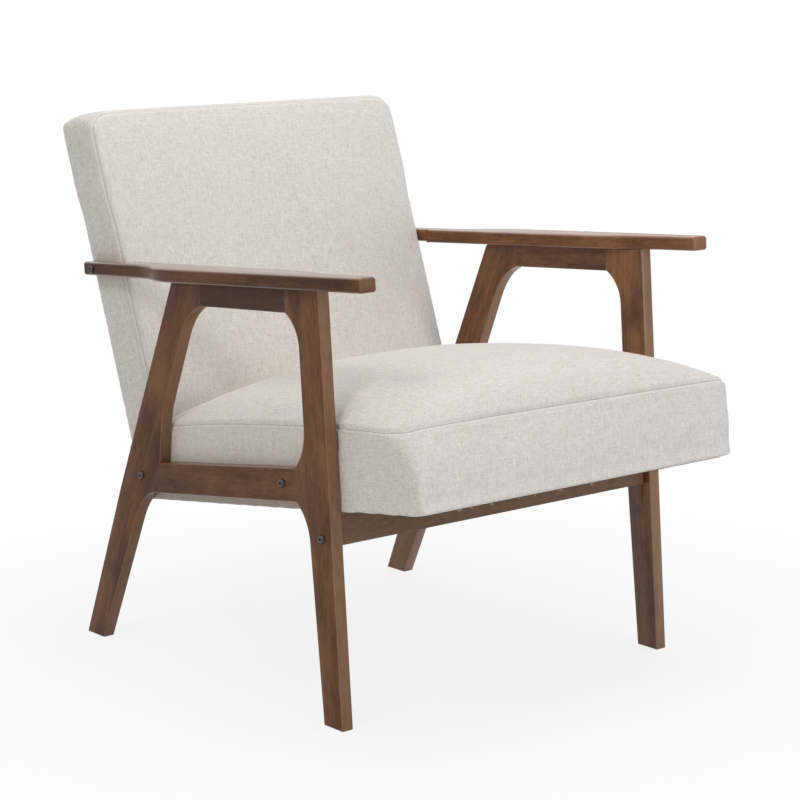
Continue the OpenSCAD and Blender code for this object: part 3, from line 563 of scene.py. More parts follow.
def puff(piece, voxel, held, cap, pressure=4.0):
    """Remeshes a cushion evenly, blows it up as cloth between its held parts, caps how far it moves and
    subdivides it once. held gives each point's hold, from 0 to 1, and cap its furthest way in metres."""
    pick(piece)
    finish_by(piece, "REMESH", mode="VOXEL", voxel_size=voxel)
    finish_by(piece, "SMOOTH", factor=0.5, iterations=4)
    start = places_of(piece)
    hold, limit = held(start), cap(start)
    group = piece.vertex_groups.new(name="held")
    for level in range(1, 11):
        chosen = np.nonzero((hold > (level - 1) / 10) & (hold <= level / 10))[0]
        group.add([int(i) for i in chosen], level / 10, "REPLACE")
    cloth = piece.modifiers.new("pressure", "CLOTH")
    cloth.settings.quality = 4
    cloth.settings.mass = 0.25
    cloth.settings.tension_stiffness = cloth.settings.compression_stiffness = 18
    cloth.settings.shear_stiffness = 8
    cloth.settings.bending_stiffness = 1.5
    cloth.settings.vertex_group_mass = "held"
    cloth.settings.use_pressure = True
    cloth.settings.uniform_pressure_force = pressure
    cloth.settings.effector_weights.gravity = 0
    cloth.collision_settings.use_collision = False
    cloth.point_cache.frame_start, cloth.point_cache.frame_end = 1, 20
    for step in range(1, 21):
        bpy.context.scene.frame_set(step)
    bpy.ops.object.modifier_apply(modifier="pressure")
    bpy.context.scene.frame_set(1)
    moved = places_of(piece) - start
    way = np.linalg.norm(moved, axis=1)
    print(piece.name, "cloth moved", way.mean(), way.max())
    moved *= (np.minimum(way, limit) / np.maximum(way, 1e-9))[:, None]
    move_to(piece, start + moved)
    piece.vertex_groups.clear()
    finish_by(piece, "SUBSURF", levels=1, render_levels=1)


def stitch_map(piece, points, seams, signs):
    """Writes where each point lies by the nearest seam: x is how far along it, y how far beside it."""
    found = np.full((len(points), 3), 1.0)
    skin = BVHTree.FromObject(piece, bpy.context.evaluated_depsgraph_get())
    seams = [np.array([skin.find_nearest(Vector(place))[0] for place in seam]) for seam in seams]
    tree = KDTree(sum(len(seam) for seam in seams))
    runs, index = [], 0
    for seam in seams:
        step = np.linalg.norm(np.roll(seam, -1, 0) - seam, axis=1)
        run = np.concatenate([[0], np.cumsum(step)[:-1]])
        for place, at in zip(seam, run):
            tree.insert(place, index)
            runs.append((at, index))
            index += 1
    tree.balance()
    every = np.concatenate(seams)
    for i, place in enumerate(points):
        spot, number, gap = tree.find(place)
        if gap < 0.06:
            found[i] = (runs[number][0], gap * signs(place, every[number]), gap)
    layer = piece.data.attributes.new("stitches", "FLOAT_VECTOR", "POINT")
    layer.data.foreach_set("vector", found.astype(np.float32).ravel())
    return found


def linen(name, second, third, seat_painted_shading=0.0):
    """Linen-look upholstery cloth with threads along the chair, across it and up the cushion's sides.
    Faces that face up and tilt back are painted paler, a painted light, and so are the seat's forward faces;
    the strip under the seat's side rails is painted darker, a painted shade, and faces turned sideways get a
    warm painted shade."""
    material, shader, here = finish_of(name, Roughness=0.95, Sheen_Weight=0.12, Sheen_Roughness=0.5,
                                       Specular_IOR_Level=0.25)
    across, run, rise = here.along((1, 0, 0)), here.along(second), here.along(third)
    facing = here.node("NewGeometry", out="Normal")
    sides = [facing.along(d).absolute() for d in ((1, 0, 0), second, third)]
    threads = None
    for number, axis in enumerate(((across, run, rise), (run, rise, across), (rise, across, run))):
        lengthwise, first, other = axis
        yarn = here.point(lengthwise * 120 + 3 * number, first * 760, other * 760).noise(1.0, 2, 0.6)
        slub = here.point(lengthwise * 42 + number, first * 430, other * 430).noise(1.0, 2, 0.6)
        lies = 1.0 - sides[number].band(0.55, 0.85)
        part = (yarn * 0.68 + slub * 0.32 - 0.5) * lies * (0.85, 1.15, 1.0)[number]
        threads = part if threads is None else threads + part
    tone = here.noise(9, 3, 0.5)
    warm = here.noise(30, 3, 0.6)
    colour = (threads * 0.96 + 0.5 + (tone - 0.5) * 0.08).ramp(
        (0.20, (0.545, 0.502, 0.453)), (0.42, (0.688, 0.646, 0.601)), (0.58, (0.766, 0.726, 0.682)),
        (0.80, (0.872, 0.841, 0.806)))
    # Painted light: faces that face up and tilt back are painted paler.
    painted_light_tilted_back = facing.along(second).band(0.04, 0.30) * facing.along(third).band(0.80, 0.95)
    ahead = facing.along(second).band(-0.75, -0.95)
    # Painted shade: the strip of the seat's boxing under the side rails is painted darker, as the rails shade
    # it.
    painted_shade_under_rails = (here.along(third) - float(Vector(seat_zero).dot(third))).band(0.034, 0.016)
    painted_shade_under_rails = painted_shade_under_rails * sides[0].band(0.8, 0.95)
    covered = (here.along(second) - float(Vector(seat_zero).dot(second))).band(0.205, 0.225)
    colour = colour.blend((0.70, 0.67, 0.65, 1), painted_shade_under_rails * covered * seat_painted_shading, "MULTIPLY")
    colour = colour.blend((1.13, 1.13, 1.13, 1), painted_light_tilted_back, "MULTIPLY")
    # Painted light: the seat's forward faces are painted paler.
    colour = colour.blend((1.07, 1.07, 1.07, 1), ahead * seat_painted_shading, "MULTIPLY")
    # Painted shade: faces turned sideways are painted warmer and darker.
    colour = colour.blend((0.97, 0.955, 0.92, 1), sides[0].band(0.7, 0.95), "MULTIPLY")
    colour = colour.blend((0.96, 0.91, 0.88, 1), warm.band(0.54, 0.74) * 0.20, "MULTIPLY")
    colour = colour.blend((0.93, 0.945, 0.90, 1), warm.band(0.46, 0.26) * 0.20, "MULTIPLY")
    seam = here.node("Attribute", {"attribute_name": "stitches"}, out="Vector")
    beside = seam.along((0, 1, 0))
    line = beside.absolute().band(0.0011, 0.0003) * (0.35 + 0.9 * here.noise(260, 2, 0.6))
    # Painted highlight: a pale line just below the seam, where its lip catches the light.
    painted_lip_highlight = beside.band(-0.0026, -0.0012) * (1.0 - beside.band(-0.0010, -0.0002))
    dash = seam.along((1 / 0.0042, 0, 0))
    dash = dash.math("FRACT", dash).band(0.12, 0.22)
    row = (beside + 0.0052).absolute().band(0.0007, 0.0002) * dash
    colour = colour.blend((0.20, 0.17, 0.14, 1), line * 0.50)
    colour = colour.blend((0.95, 0.93, 0.90, 1), painted_lip_highlight * 0.34)
    colour = colour.blend((0.42, 0.38, 0.33, 1), row * 0.34)
    colour.to(shader, "Base Color")
    (threads - line * 1.4 - row * 0.5).bump(shader, 0.55, 0.0006)
    return material


def back_swell(v):
    return (1 - np.minimum(1, np.abs(v) ** 6)) ** 0.45 * (1 - 0.25 * v * v)


back_round, back_rear_round, back_crown, back_bulge = 0.036, 0.013, 0.0135, 0.0075
half_w_boxing = half_w_back - 0.0005
half_tall = (back_tall + back_round) / 2
middle_up = (back_tall - back_round) / 2


def back_ring(level):
    """A ring of the back cushion's boxing, from its rear edge at 0 to the front seam at 1."""
    radius = back_rear_round + (back_round - back_rear_round) * level ** 1.5
    ring = soft_box(half_w_boxing, half_tall, radius)
    up = np.maximum(0, ring[:, 1] / half_tall)
    full = 1 - 0.45 * ring[:, 0] / half_w_back
    lift = up * (full * (back_bulge * (1 - level ** 3) - 0.003 * (1 - level) ** 8) + 0.0022 * (full - 0.55))
    depth = np.full(len(ring), back_depth * (1 - level))
    return np.stack([ring[:, 0], depth, middle_up + ring[:, 1] + lift], 1)


rings = []
for share in np.linspace(0.04, 0.97, 18):
    ring = back_ring(0)
    rings.append(np.stack([ring[:, 0] * share, ring[:, 1], middle_up + (ring[:, 2] - middle_up) * share], 1))
rings += [back_ring(level) for level in np.linspace(0, 1, 16)]
for share in np.concatenate([np.linspace(0.99, 0.9, 8), np.linspace(0.87, 0.04, 26)]):
    ring = back_ring(1)
    x, u = ring[:, 0] * share, (ring[:, 2] - middle_up) * share
    crown = back_crown * back_swell(x / half_w_back) * back_swell(u / half_tall) * (1 - share ** 24)
    rings.append(np.stack([x, -crown, middle_up + u], 1))
back_cushion = skin_over("back_cushion", [placed(ring, *back_frame) for ring in rings])
foot = [seat_zero + seat_run * s + seat_up * h
        for s, h in ((0.45, -0.2), (0.9, -0.2), (0.9, frame_top_h + 0.0003), (0.45, frame_top_h + 0.0003))]
cut_away(back_cushion, foot)


def back_hold(points):
    x, d, u = measured(points, *back_frame).T
    low = measured(points, *seat_frame)[:, 2] < frame_top_h + 0.012
    outward = np.maximum(np.abs(x) / half_w_back, np.abs(u - middle_up) / half_tall)
    edge = np.exp(-(d / 0.012) ** 2) * outward ** 12
    return np.clip(np.where(low | (d > back_depth - 0.012), 1, edge), 0, 1)


puff(back_cushion, 0.006, back_hold, lambda points: np.full(len(points), 0.005))
places = places_of(back_cushion)
back_seam = placed(back_ring(1), *back_frame)
rear_seam = placed(back_ring(0.0), *back_frame)


def fine_line(line, step=0.0006):
    """A closed line with its points at most a step apart."""
    after = np.roll(line, -1, 0)
    parts = [a + (b - a) * np.linspace(0, 1, max(2, int(np.linalg.norm(b - a) / step) + 1))[:-1, None]
             for a, b in zip(line, after)]
    return np.concatenate(parts)


middle_depth = back_zero.dot(back_rear) + back_depth / 2


def back_sign(p, q):
    """-1 on the boxing's side of a seam point and 1 on the panel's side."""
    to_middle = middle_depth - Vector(q).dot(back_rear)
    return -1 if (Vector(p) - Vector(q)).dot(back_rear) * to_middle > 0 else 1


def seam_groove(gap):
    """How deep the cloth is drawn in at a seam, and how far it rises beside it."""
    drawn_in, rise = 0.0014, 0.0006
    return drawn_in * np.exp(-(gap / 0.0032) ** 2) - rise * np.exp(-((gap - 0.008) / 0.004) ** 2)


by_seam = stitch_map(back_cushion, places, [fine_line(back_seam), fine_line(rear_seam)], back_sign)
places -= normals_of(back_cushion) * seam_groove(by_seam[:, 2])[:, None]
x, d, u = measured(places, *back_frame).T
to_side, to_rear = squared(half_w_boxing - np.abs(x), back_depth - d, 0.014, 0.25)
x, d = np.sign(x) * (half_w_boxing - to_side), back_depth - to_rear
between_arms, fuller_above = 0.2874, 0.0135
x = np.clip(x, -between_arms, between_arms) * (1 + fuller_above * ease(0.640, 0.700, places[:, 2]))
places = placed(np.stack([x, d, u], 1), *back_frame)
low = measured(places, *seat_frame)
low[:, 2] = np.maximum(low[:, 2], frame_top_h + 0.0002)
places = placed(low, *seat_frame)
move_to(back_cushion, places)
bpy.ops.object.shade_smooth()
back_cushion.data.materials.append(linen("linen-look cover, back", back_rear, back_up))
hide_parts("back_cover", "back_foam")
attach(back_cushion, "root")


# Seat cushion: a thick crowned foam pad over webbing on a boarded frame, in a linen-look cover with a
# top panel sewn to deep boxing. The boxing is drawn down over the frame and stapled underneath.
# The crown stands high behind the front seam and falls away to the back cushion.
half_w_seat, seat_long, seat_side, seam_lift, seat_crown = 0.2895, 0.6965, 0.109, 0.009, 0.072
seat_half_long = seat_long / 2


def seat_ring(level):
    """A ring of the seat cushion's boxing, from the frame's lower edge at 0 to the seam at 1. The stuffing
    fills its right front corner less than the others, and swells beyond the frame ahead of the legs."""
    bulge = math.sin(math.pi * level)
    slack = soft_box(half_w_seat, seat_half_long, 0.006 + 0.059 * level ** 3)
    full = soft_box(half_w_seat, seat_half_long, 0.005 + 0.003 * level ** 3)
    left = ease(-half_w_seat, half_w_seat, (slack[:, 0] + full[:, 0]) / 2)
    left = np.maximum(left, ease(0.3, 0.8, (slack[:, 1] + full[:, 1]) / 2 / seat_half_long))
    ring = slack * (1 - left[:, None]) + full * left[:, None]
    v = ring[:, 1] / seat_half_long
    front = np.maximum(0, -v)
    s = seat_half_long + ring[:, 1] + front * (0.012 * (1 - left) * level ** 1.8 - 0.003 * bulge)
    wider = (0.003 + 0.0025 * left) / half_w_seat * (0.35 + 0.65 * level)
    x = ring[:, 0] * (1 + wider * ease(0.58, 0.95, -v))
    beside = seat_side + seam_lift * (1 - v ** 2) - 0.004 * ease(0.3, 1, v)
    ahead = 0.114 - 0.0015 * left + 0.001 * (1 - (ring[:, 0] / half_w_seat) ** 2)
    share = ease(0.93, 1, front)
    return np.stack([x, s, (beside * (1 - share) + ahead * share) * level], 1)


def seat_dome(x, s):
    v = (s - seat_half_long) / seat_half_long
    across = (1 - np.minimum(1, np.abs(x / half_w_seat)) ** 2.7) ** 0.69
    ahead = (1 - np.clip(-v, 0, 1) ** 2.33) ** 0.3
    behind = np.maximum(0, 1 - 1.05 * v * v)
    return across * np.where(v < 0, ahead, behind)


rings = []
for share in np.linspace(0.04, 0.97, 18):
    ring = seat_ring(0)
    s = seat_half_long + (ring[:, 1] - seat_half_long) * share
    rings.append(np.stack([ring[:, 0] * share, s, ring[:, 2]], 1))
rings += [seat_ring(level) for level in np.linspace(0, 1, 20)]
for share in np.concatenate([np.linspace(0.995, 0.9, 20), np.linspace(0.885, 0.04, 40)]):
    ring = seat_ring(1)
    x, v = ring[:, 0] * share, (ring[:, 1] - seat_half_long) * share
    height = seat_side + seam_lift + (ring[:, 2] - seat_side - seam_lift) * share ** 4
    height = height + seat_crown * seat_dome(x, v + seat_half_long) * (1 - share ** 60)
    rings.append(np.stack([x, v + seat_half_long, height], 1))
seat_cushion = skin_over("seat_cushion", [placed(ring, *seat_frame) for ring in rings])
pressed = 0.0095
leg_front_s = 0.1735
covered_h = frame_top_h - 0.0003
base = seat_zero + seat_up * covered_h
foot_s = 0.61076
back_space = [base + seat_run * (foot_s - pressed), base + seat_run * 0.9,
              back_zero + back_up * 0.55 + back_rear * 0.3, back_zero + back_up * 0.55 - back_rear * pressed]
cut_away(seat_cushion, back_space)
seat_seam = fine_line(placed(seat_ring(1), *seat_frame))
seam_tree = KDTree(len(seat_seam))
for number, place in enumerate(seat_seam):
    seam_tree.insert(place, number)
seam_tree.balance()


def seat_hold(points):
    x, s, h = measured(points, *seat_frame).T
    gap = np.array([seam_tree.find(p)[2] for p in points])
    behind = s > foot_s - 0.02
    return np.where((h < 0.05) | behind, 1, np.clip(np.exp(-(gap / 0.012) ** 2), 0, 1))


def seat_cap(points):
    x, s, h = measured(points, *seat_frame).T
    return np.where(h > 0.118, 0.008, 0.003)


puff(seat_cushion, 0.006, seat_hold, seat_cap)
places = places_of(seat_cushion)
by_seam = stitch_map(seat_cushion, places, [seat_seam],
                     lambda p, q: 1 if (Vector(p) - Vector(q)).dot(seat_up) > 0 else -1)
places -= normals_of(seat_cushion) * seam_groove(by_seam[:, 2])[:, None]
x, s, h = measured(places, *seat_frame).T
free = 0.007 * ease(0.135, 0.100, s)
x = np.clip(x, -half_w_seat - free, half_w_seat + free)
low_dent, more_above, dent_reach = 0.0014, 0.0022, 0.010
beside_leg = (low_dent + more_above * ease(0.080, 0.092, h)) * np.exp(-((s - leg_front_s) / dent_reach) ** 2)
beside_leg *= ease(0.265, 0.286, np.abs(x))
pucker_h, pucker_run, pucker_ahead, pucker_reach = 0.0016, 0.0042, 0.014, 0.016
pucker = np.exp(-((s - leg_front_s + pucker_ahead) / pucker_reach) ** 2)
pucker = pucker_h * np.sin((s - leg_front_s) / pucker_run) * pucker
pucker *= ease(0.100, 0.116, h) * ease(0.245, 0.280, np.abs(x))
crisp = 0.0022 * np.exp(-((h - 0.003) / 0.009) ** 2) * ease(0.165, 0.130, s)
x = np.sign(x) * (np.abs(x) - beside_leg + crisp * ease(0.270, 0.285, np.abs(x)))
s = s - crisp * ease(0.02, 0.005, s)
h = np.maximum(h + pucker, 0)
low_edge = ease(0.140, 0.160, s)
to_side = half_w_seat - np.abs(x)
tight_side, tight_h = squared(to_side, h)
x = np.where(low_edge > 0, np.sign(x) * (np.abs(x) + (to_side - tight_side) * low_edge), x)
h = h - (h - tight_h) * low_edge
to_rear, h = squared(seat_long - s, h)
to_side, to_rear = squared(half_w_seat - np.abs(x), to_rear)
behind_back = ease(foot_s + 0.006, foot_s + 0.024, s)
to_top = covered_h - h
to_rear, tight_top = squared(to_rear, to_top)
to_top = to_top + (tight_top - to_top) * behind_back
tight_side, tight_top = squared(to_side, to_top)
to_side = to_side + (tight_side - to_side) * behind_back
to_top = to_top + (tight_top - to_top) * behind_back
h = covered_h - to_top
rear_half = s > 0.5
x = np.where(rear_half, np.sign(x) * (half_w_seat - to_side), x)
s = np.where(rear_half, seat_long - to_rear, s)
places = placed(np.stack([x, s, h], 1), *seat_frame)
back_skin = BVHTree.FromObject(back_cushion, bpy.context.evaluated_depsgraph_get())
least_gap = 0.0006
for number in np.nonzero((s > foot_s - 0.05) & (h > frame_top_h + 0.004))[0]:
    p = Vector(places[number])
    hit, outward = back_skin.find_nearest(p)[:2]
    if hit is not None and ((p - hit).dot(outward) < least_gap or (p - hit).dot(back_rear) > 0):
        places[number] = hit + outward * least_gap
move_to(seat_cushion, places)
pick(seat_cushion)
bpy.ops.object.shade_smooth()
seat_cushion.data.materials.append(linen("linen-look cover, seat", seat_run, seat_up, 1.0))
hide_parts("seat_cover", "seat_foam")
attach(seat_cushion, "root")


# Seat and back webbing: elastic straps, stapled across the frames under the foam. Each strap is woven of
# rubber cores under dark polyester, ribbed along its length, and hangs a little in the middle.
webbing, shader, here = finish_of("elastic webbing", Sheen_Weight=0.1, Specular_IOR_Level=0.3)
across, run = here.along((1, 0, 0)), here.along(seat_run)
rib = (run * 1400).wave()
filling = here.point(across * 420, run * 1400).noise(1.0, 2, 0.6)
weave = rib * 0.55 + filling * 0.45
weave.ramp((0.2, (0.022, 0.022, 0.024)), (0.7, (0.075, 0.074, 0.074))).to(shader, "Base Color")
(0.6 + 0.25 * filling).to(shader, "Roughness")
(rib * 0.7 + filling * 0.3).bump(shader, 0.6, 0.0005)


def strap(low, high, lies_in, slack):
    """One strap across the chair in its box, a little slack in the middle, away from the foam."""
    bpy.ops.object.select_all(action="DESELECT")
    bpy.ops.mesh.primitive_grid_add(x_subdivisions=24, y_subdivisions=6, size=1)
    made = bpy.context.object
    low, high = np.array(low), np.array(high)
    thick = min(high[1] - low[1], high[2] - low[2])
    points = places_of(made)
    along_x = low[0] + (points[:, 0] + 0.5) * (high[0] - low[0])
    hang = slack * np.cos(math.pi * points[:, 0]) ** 2
    if high[1] - low[1] < high[2] - low[2]:
        width = low[2] + (points[:, 1] + 0.5) * (high[2] - low[2])
        flat = np.stack([along_x, (low[1] + high[1]) / 2 + hang, width], 1)
    else:
        width = low[1] + (points[:, 1] + 0.5) * (high[1] - low[1])
        flat = np.stack([along_x, width, (low[2] + high[2]) / 2 - hang], 1)
    move_to(made, placed(flat, *lies_in))
    finish_by(made, "SOLIDIFY", thickness=thick * 0.9, offset=0)
    return made


for node, lies_in in (("seat_webbing", seat_frame), ("back_webbing", back_frame)):
    straps = [strap(low, high, lies_in, 0.003)
              for low, high in solids_of(node, lambda points: measured(points, *lies_in))]
    piece = joined(straps, node + "_straps")
    piece.data.materials.append(webbing)
    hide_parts(node)
    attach(piece, "root")


# Dust cover: thin black nonwoven cloth under the seat, with a folded hem, stapled round its edge. It lies
# against the frame and the stretcher, and hangs a little behind them.
nonwoven, shader, here = finish_of("black nonwoven", Sheen_Weight=0.15, Specular_IOR_Level=0.2)
fleck = here.noise(900, 3, 0.7)
weld = (here.along((1, 0, 0)) * 900).wave() * 0.3 + fleck * 0.7
weld.ramp((0.25, (0.010, 0.010, 0.011)), (0.75, (0.045, 0.045, 0.047))).to(shader, "Base Color")
(0.8 + 0.15 * fleck).to(shader, "Roughness")
weld.bump(shader, 0.35)
cover_low, cover_high = solids_of("seat_dust_cover",
                                  lambda points: measured(points, *seat_frame))[0]
bpy.ops.object.select_all(action="DESELECT")
bpy.ops.mesh.primitive_grid_add(x_subdivisions=60, y_subdivisions=70, size=1)
dust_cover = bpy.context.object
dust_cover.name = "dust_cover_sheet"
points = places_of(dust_cover)
u, v = points[:, 0] + 0.5, points[:, 1] + 0.5
width, length = cover_high[0] - cover_low[0], cover_high[1] - cover_low[1]
x, s = cover_low[0] + u * width, cover_low[1] + v * length
edge_gap = np.minimum(np.minimum(u, 1 - u) * width, np.minimum(v, 1 - v) * length)
ripple = 0.0004 * np.sin(x * 95 + 1.3 * np.sin(s * 40)) * ease(0.004, 0.03, edge_gap)
hang = 0.004 * (1 - (2 * u - 1) ** 2) * ease(0.26, 0.36, s) * (1 - ease(0.48, cover_high[1], s))
points = np.stack([x, s, -0.0006 - hang + ripple * ease(0.24, 0.3, s)], 1)
move_to(dust_cover, placed(points, *seat_frame))
finish_by(dust_cover, "SOLIDIFY", thickness=0.0006, offset=0)
bpy.ops.object.shade_smooth_by_angle(angle=math.radians(40))
dust_cover.data.materials.append(nonwoven)
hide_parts("seat_dust_cover")
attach(dust_cover, "root")


# Staples of the dust cover: flat zinc-coated wire, shot through the hem into the frame, one every few
# centimetres and each a little askew.
zinc, shader, here = finish_of("zinc-coated steel", Metallic=0.95)
spangle = here.noise(320, 3, 0.6)
spangle.ramp((0.3, (0.42, 0.43, 0.45)), (0.7, (0.66, 0.67, 0.68))).to(shader, "Base Color")
(0.28 + 0.26 * spangle).to(shader, "Roughness")
staple_crown, staple_wire, staple_step, hem_in = 0.0105, 0.0011, 0.045, 0.008
bpy.ops.object.select_all(action="DESELECT")
bpy.ops.mesh.primitive_cube_add(size=1)
staple = bpy.context.object
bpy.ops.object.mode_set(mode="EDIT")
bpy.ops.mesh.bevel(offset=0.22, segments=1, affect="EDGES")
bpy.ops.object.mode_set(mode="OBJECT")
shape = places_of(staple) * (staple_crown, staple_wire, 0.0006)
spots = []
for k in range(int(width / staple_step)):
    x = cover_low[0] + 0.02 + k * staple_step
    spots += [(x, cover_low[1] + hem_in, 0.0), (x, cover_high[1] - hem_in, 0.0)]
for k in range(int(length / staple_step)):
    s = cover_low[1] + 0.03 + k * staple_step
    spots += [(cover_low[0] + hem_in, s, math.pi / 2), (cover_high[0] - hem_in, s, math.pi / 2)]
staples = [staple] + [copy_of(staple) for spot in spots[1:]]
for number, (x, s, turn) in enumerate(spots):
    askew = turn + 0.35 * math.sin(number * 2.4)
    points = np.stack([x + shape[:, 0] * math.cos(askew) - shape[:, 1] * math.sin(askew),
                       s + shape[:, 0] * math.sin(askew) + shape[:, 1] * math.cos(askew),
                       shape[:, 2] - 0.0012], 1)
    move_to(staples[number], placed(points, *seat_frame))
piece = joined(staples, "dust_cover_staples")
piece.data.materials.append(zinc)
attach(piece, "root")


# Frayed threads: the raw edge of the cover, folded under the front of the seat, sheds short curled yarn
# ends between its staples. They hang just below the front edge.
loose_yarn, shader, here = finish_of("loose linen yarn", Roughness=0.9)
here.noise(700, 3, 0.6).ramp((0.3, (0.50, 0.45, 0.38)), (0.7, (0.74, 0.69, 0.61))).to(shader, "Base Color")
yarn_radius = 0.00032
tufts = ((-0.226, 3, 0.006), (-0.171, 3, 0.006), (-0.120, 1, 0.004), (-0.047, 3, 0.007), (0.012, 2, 0.006),
         (0.150, 1, 0.004), (-0.205, 2, 0.004), (-0.090, 1, 0.004))
strands = []
for number, (x, ends, reach) in enumerate(tufts):
    for k in range(ends):
        turn = 2.4 * k + 1.7 * number
        curve = bpy.data.curves.new("yarn end", "CURVE")
        curve.dimensions, curve.bevel_depth, curve.bevel_resolution = "3D", yarn_radius, 0
        line = curve.splines.new("POLY")
        steps = np.linspace(0, 1, 9)
        line.points.add(len(steps) - 1)
        long = reach * (0.6 + 0.4 * math.sin(3.1 * k + number) ** 2)
        sideways = x + 0.0022 * k + long * (0.75 * math.sin(turn) * steps + 0.16 * np.sin(6 * steps + turn))
        behind = 0.0012 - 0.0028 * steps + 0.1 * long * np.cos(5 * steps + turn)
        height = 0.0006 - long * (0.30 + 0.25 * math.cos(turn)) * steps - 0.08 * long * np.sin(7 * steps)
        points = np.stack([sideways, behind, height], 1)
        for point, place in zip(line.points, placed(points, *seat_frame)):
            point.co = (*place, 1)
        strand = bpy.data.objects.new("yarn end", curve)
        bpy.context.scene.collection.objects.link(strand)
        strands.append(strand)
pick(*strands)
bpy.ops.object.convert(target="MESH")
piece = joined(strands, "frayed_yarn_ends")
piece.data.materials.append(loose_yarn)
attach(piece, "root")


# Frames under the covers: planed pine rails, stiles and corner blocks, screwed and glued. They keep their CAD
# meshes. Beech dowels, zinc-coated nuts, screws and long bolts hold the pieces together.
def sawn_wood(name, along, across, pale, dark, seed):
    """Raw planed wood with growth rings across its grain."""
    material, shader, here = finish_of(name, Roughness=0.7, Specular_IOR_Level=0.3)
    run, width, depth = here.along(along), here.along(across), here.along(Vector(along).cross(Vector(across)))
    ring = here.point(run * 2.2 + seed, width * 60, depth * 60).noise(1.0, 3, 0.5, 0.8)
    fibre = here.point(run * 30 + seed, width * 800, depth * 800).noise(1.0, 3, 0.6)
    colour = (ring * 0.62 + fibre * 0.38).ramp((0.34, dark), (0.64, pale))
    knots = here.point(run * 9 + seed, width * 22, depth * 22).noise(1.0, 2, 0.5)
    colour.blend((*[0.6 * c for c in dark], 1), knots.band(0.70, 0.78) * 0.6).to(shader, "Base Color")
    (fibre * 0.7 + ring * 0.3).bump(shader, 0.2)
    return material


pine = (0.68, 0.48, 0.27), (0.47, 0.29, 0.13)
beech = (0.62, 0.42, 0.26), (0.48, 0.30, 0.17)
crosswise = Vector((1, 0, 0))
pine_across = sawn_wood("planed pine, along the chair's width", crosswise, seat_up, *pine, 2.0)
pine_lengthwise = sawn_wood("planed pine, along the seat", seat_run, seat_up, *pine, 5.0)
pine_upright = sawn_wood("planed pine, up the back", back_up, crosswise, *pine, 9.0)
beech_lengthwise = sawn_wood("beech dowels, along the frame", seat_run, crosswise, *beech, 13.0)
beech_upright = sawn_wood("beech dowels, upright", arm_up, crosswise, *beech, 17.0)
beech_across = sawn_wood("beech dowels, across", crosswise, seat_up, *beech, 21.0)
inside = {pine_across: ("seat_rail_front", "seat_rail_rear", "seat_corner_blocks",
                        "back_rail_top", "back_rail_middle", "back_rail_bottom"),
          pine_lengthwise: ("seat_rail_left", "seat_rail_right"),
          pine_upright: ("back_stile_left", "back_stile_right"),
          beech_lengthwise: ("rail_dowels",),
          beech_upright: ("arm_dowels",),
          beech_across: ("stretcher_dowels",),
          zinc: ("back_bolts", "stretcher_barrel_nuts", "seat_insert_nuts", "arm_insert_nuts",
                 "back_barrel_nuts", "corner_block_screws")}
for material, covered_nodes in inside.items():
    for node in covered_nodes:
        for slot in nodes[node].material_slots:
            slot.material = material


# Studio: the photograph's camera, a white floor that keeps a soft shadow, and large soft lights.
# The light comes more from the front left, so that the near side frame stands in half shade.
eye = Vector((-2.29077, -2.89841, 1.09655))
yaw, pitch, roll = -0.673574, -0.190795, -0.011480
focus_px, image_px, sensor_mm = 2504.567, 800, 36.0
ahead = Vector((-math.sin(yaw) * math.cos(pitch), math.cos(yaw) * math.cos(pitch), math.sin(pitch)))
level = Vector((math.cos(yaw), math.sin(yaw), 0))
upright = level.cross(ahead)
right = math.cos(roll) * level + math.sin(roll) * upright
top = -math.sin(roll) * level + math.cos(roll) * upright
bpy.ops.object.camera_add()
camera = bpy.context.object
camera.data.sensor_width = sensor_mm
camera.data.lens = focus_px / image_px * sensor_mm
camera.data.clip_end = 60
camera.matrix_world = Matrix.Translation(eye) @ Matrix((right, top, -ahead)).transposed().to_4x4()
bpy.context.scene.camera = camera


def seen_by(tree, first, *others):
    """1 for rays of these kinds, and 0 for other rays."""
    path = tree.nodes.new("ShaderNodeLightPath")
    seen = Wire(tree, path.outputs[first])
    for ray in others:
        seen = seen.math("MAXIMUM", seen, Wire(tree, path.outputs[ray]))
    return seen


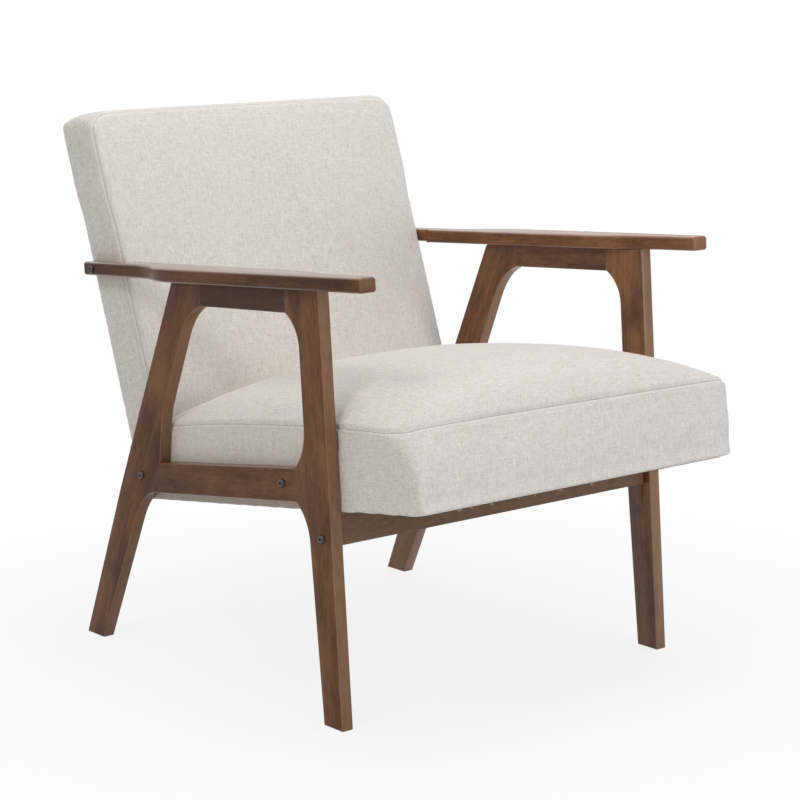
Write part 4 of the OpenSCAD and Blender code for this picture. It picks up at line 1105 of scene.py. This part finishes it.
bpy.ops.object.select_all(action="DESELECT")
bpy.ops.mesh.primitive_plane_add(size=40, location=(0, 0, -0.0004))
floor = bpy.context.object
floor.name = "floor"
paper, shader, here = finish_of("white floor", Roughness=1.0, Base_Color=(0.86, 0.86, 0.86, 1),
                                Specular_IOR_Level=0.0)
glow = paper.node_tree.nodes.new("ShaderNodeEmission")
mixer = paper.node_tree.nodes.new("ShaderNodeMixShader")
away = here.node("VectorMath", {"operation": "LENGTH"}, {0: here}, "Value")
seen = seen_by(paper.node_tree, "Is Camera Ray", "Is Glossy Ray") * (0.84 + 0.16 * away.band(0.45, 1.3))
seen.to(mixer, 0)
paper.node_tree.links.new(shader.outputs[0], mixer.inputs[1])
paper.node_tree.links.new(glow.outputs[0], mixer.inputs[2])
paper.node_tree.links.new(mixer.outputs[0], paper.node_tree.nodes["Material Output"].inputs["Surface"])
floor.data.materials.append(paper)
floor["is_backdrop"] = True

room = bpy.data.worlds.new("white room")
bpy.context.scene.world = room
room.use_nodes = True
tree = room.node_tree
seen = seen_by(tree, "Is Camera Ray", "Is Glossy Ray", "Is Transmission Ray")
background = tree.nodes["Background"]
background.inputs["Color"].default_value = (1, 1, 1, 1)
(0.50 + 0.50 * seen).to(background, "Strength")


def softbox(name, place, aim, size, power):
    lamp = bpy.data.lights.new(name, "AREA")
    lamp.shape, lamp.size, lamp.energy = "SQUARE", size, power
    lit = bpy.data.objects.new(name, lamp)
    bpy.context.scene.collection.objects.link(lit)
    lit.location = place
    lit.rotation_mode = "QUATERNION"
    lit.rotation_quaternion = (Vector(aim) - Vector(place)).to_track_quat("-Z", "Y")


softbox("overhead light", (0.2, -0.2, 3.3), (0, 0, 0.4), 1.6, 35)
softbox("high left light", (-2.4, -1.0, 3.0), (0, 0, 0.4), 0.8, 22)
softbox("front light", (2.0, -4.0, 1.0), (0, 0, 0.4), 1.7, 25)
bpy.context.scene.view_settings.view_transform = "Standard"

shown_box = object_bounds()
boxes = {"cad": cad_box, "visual": shown_box}
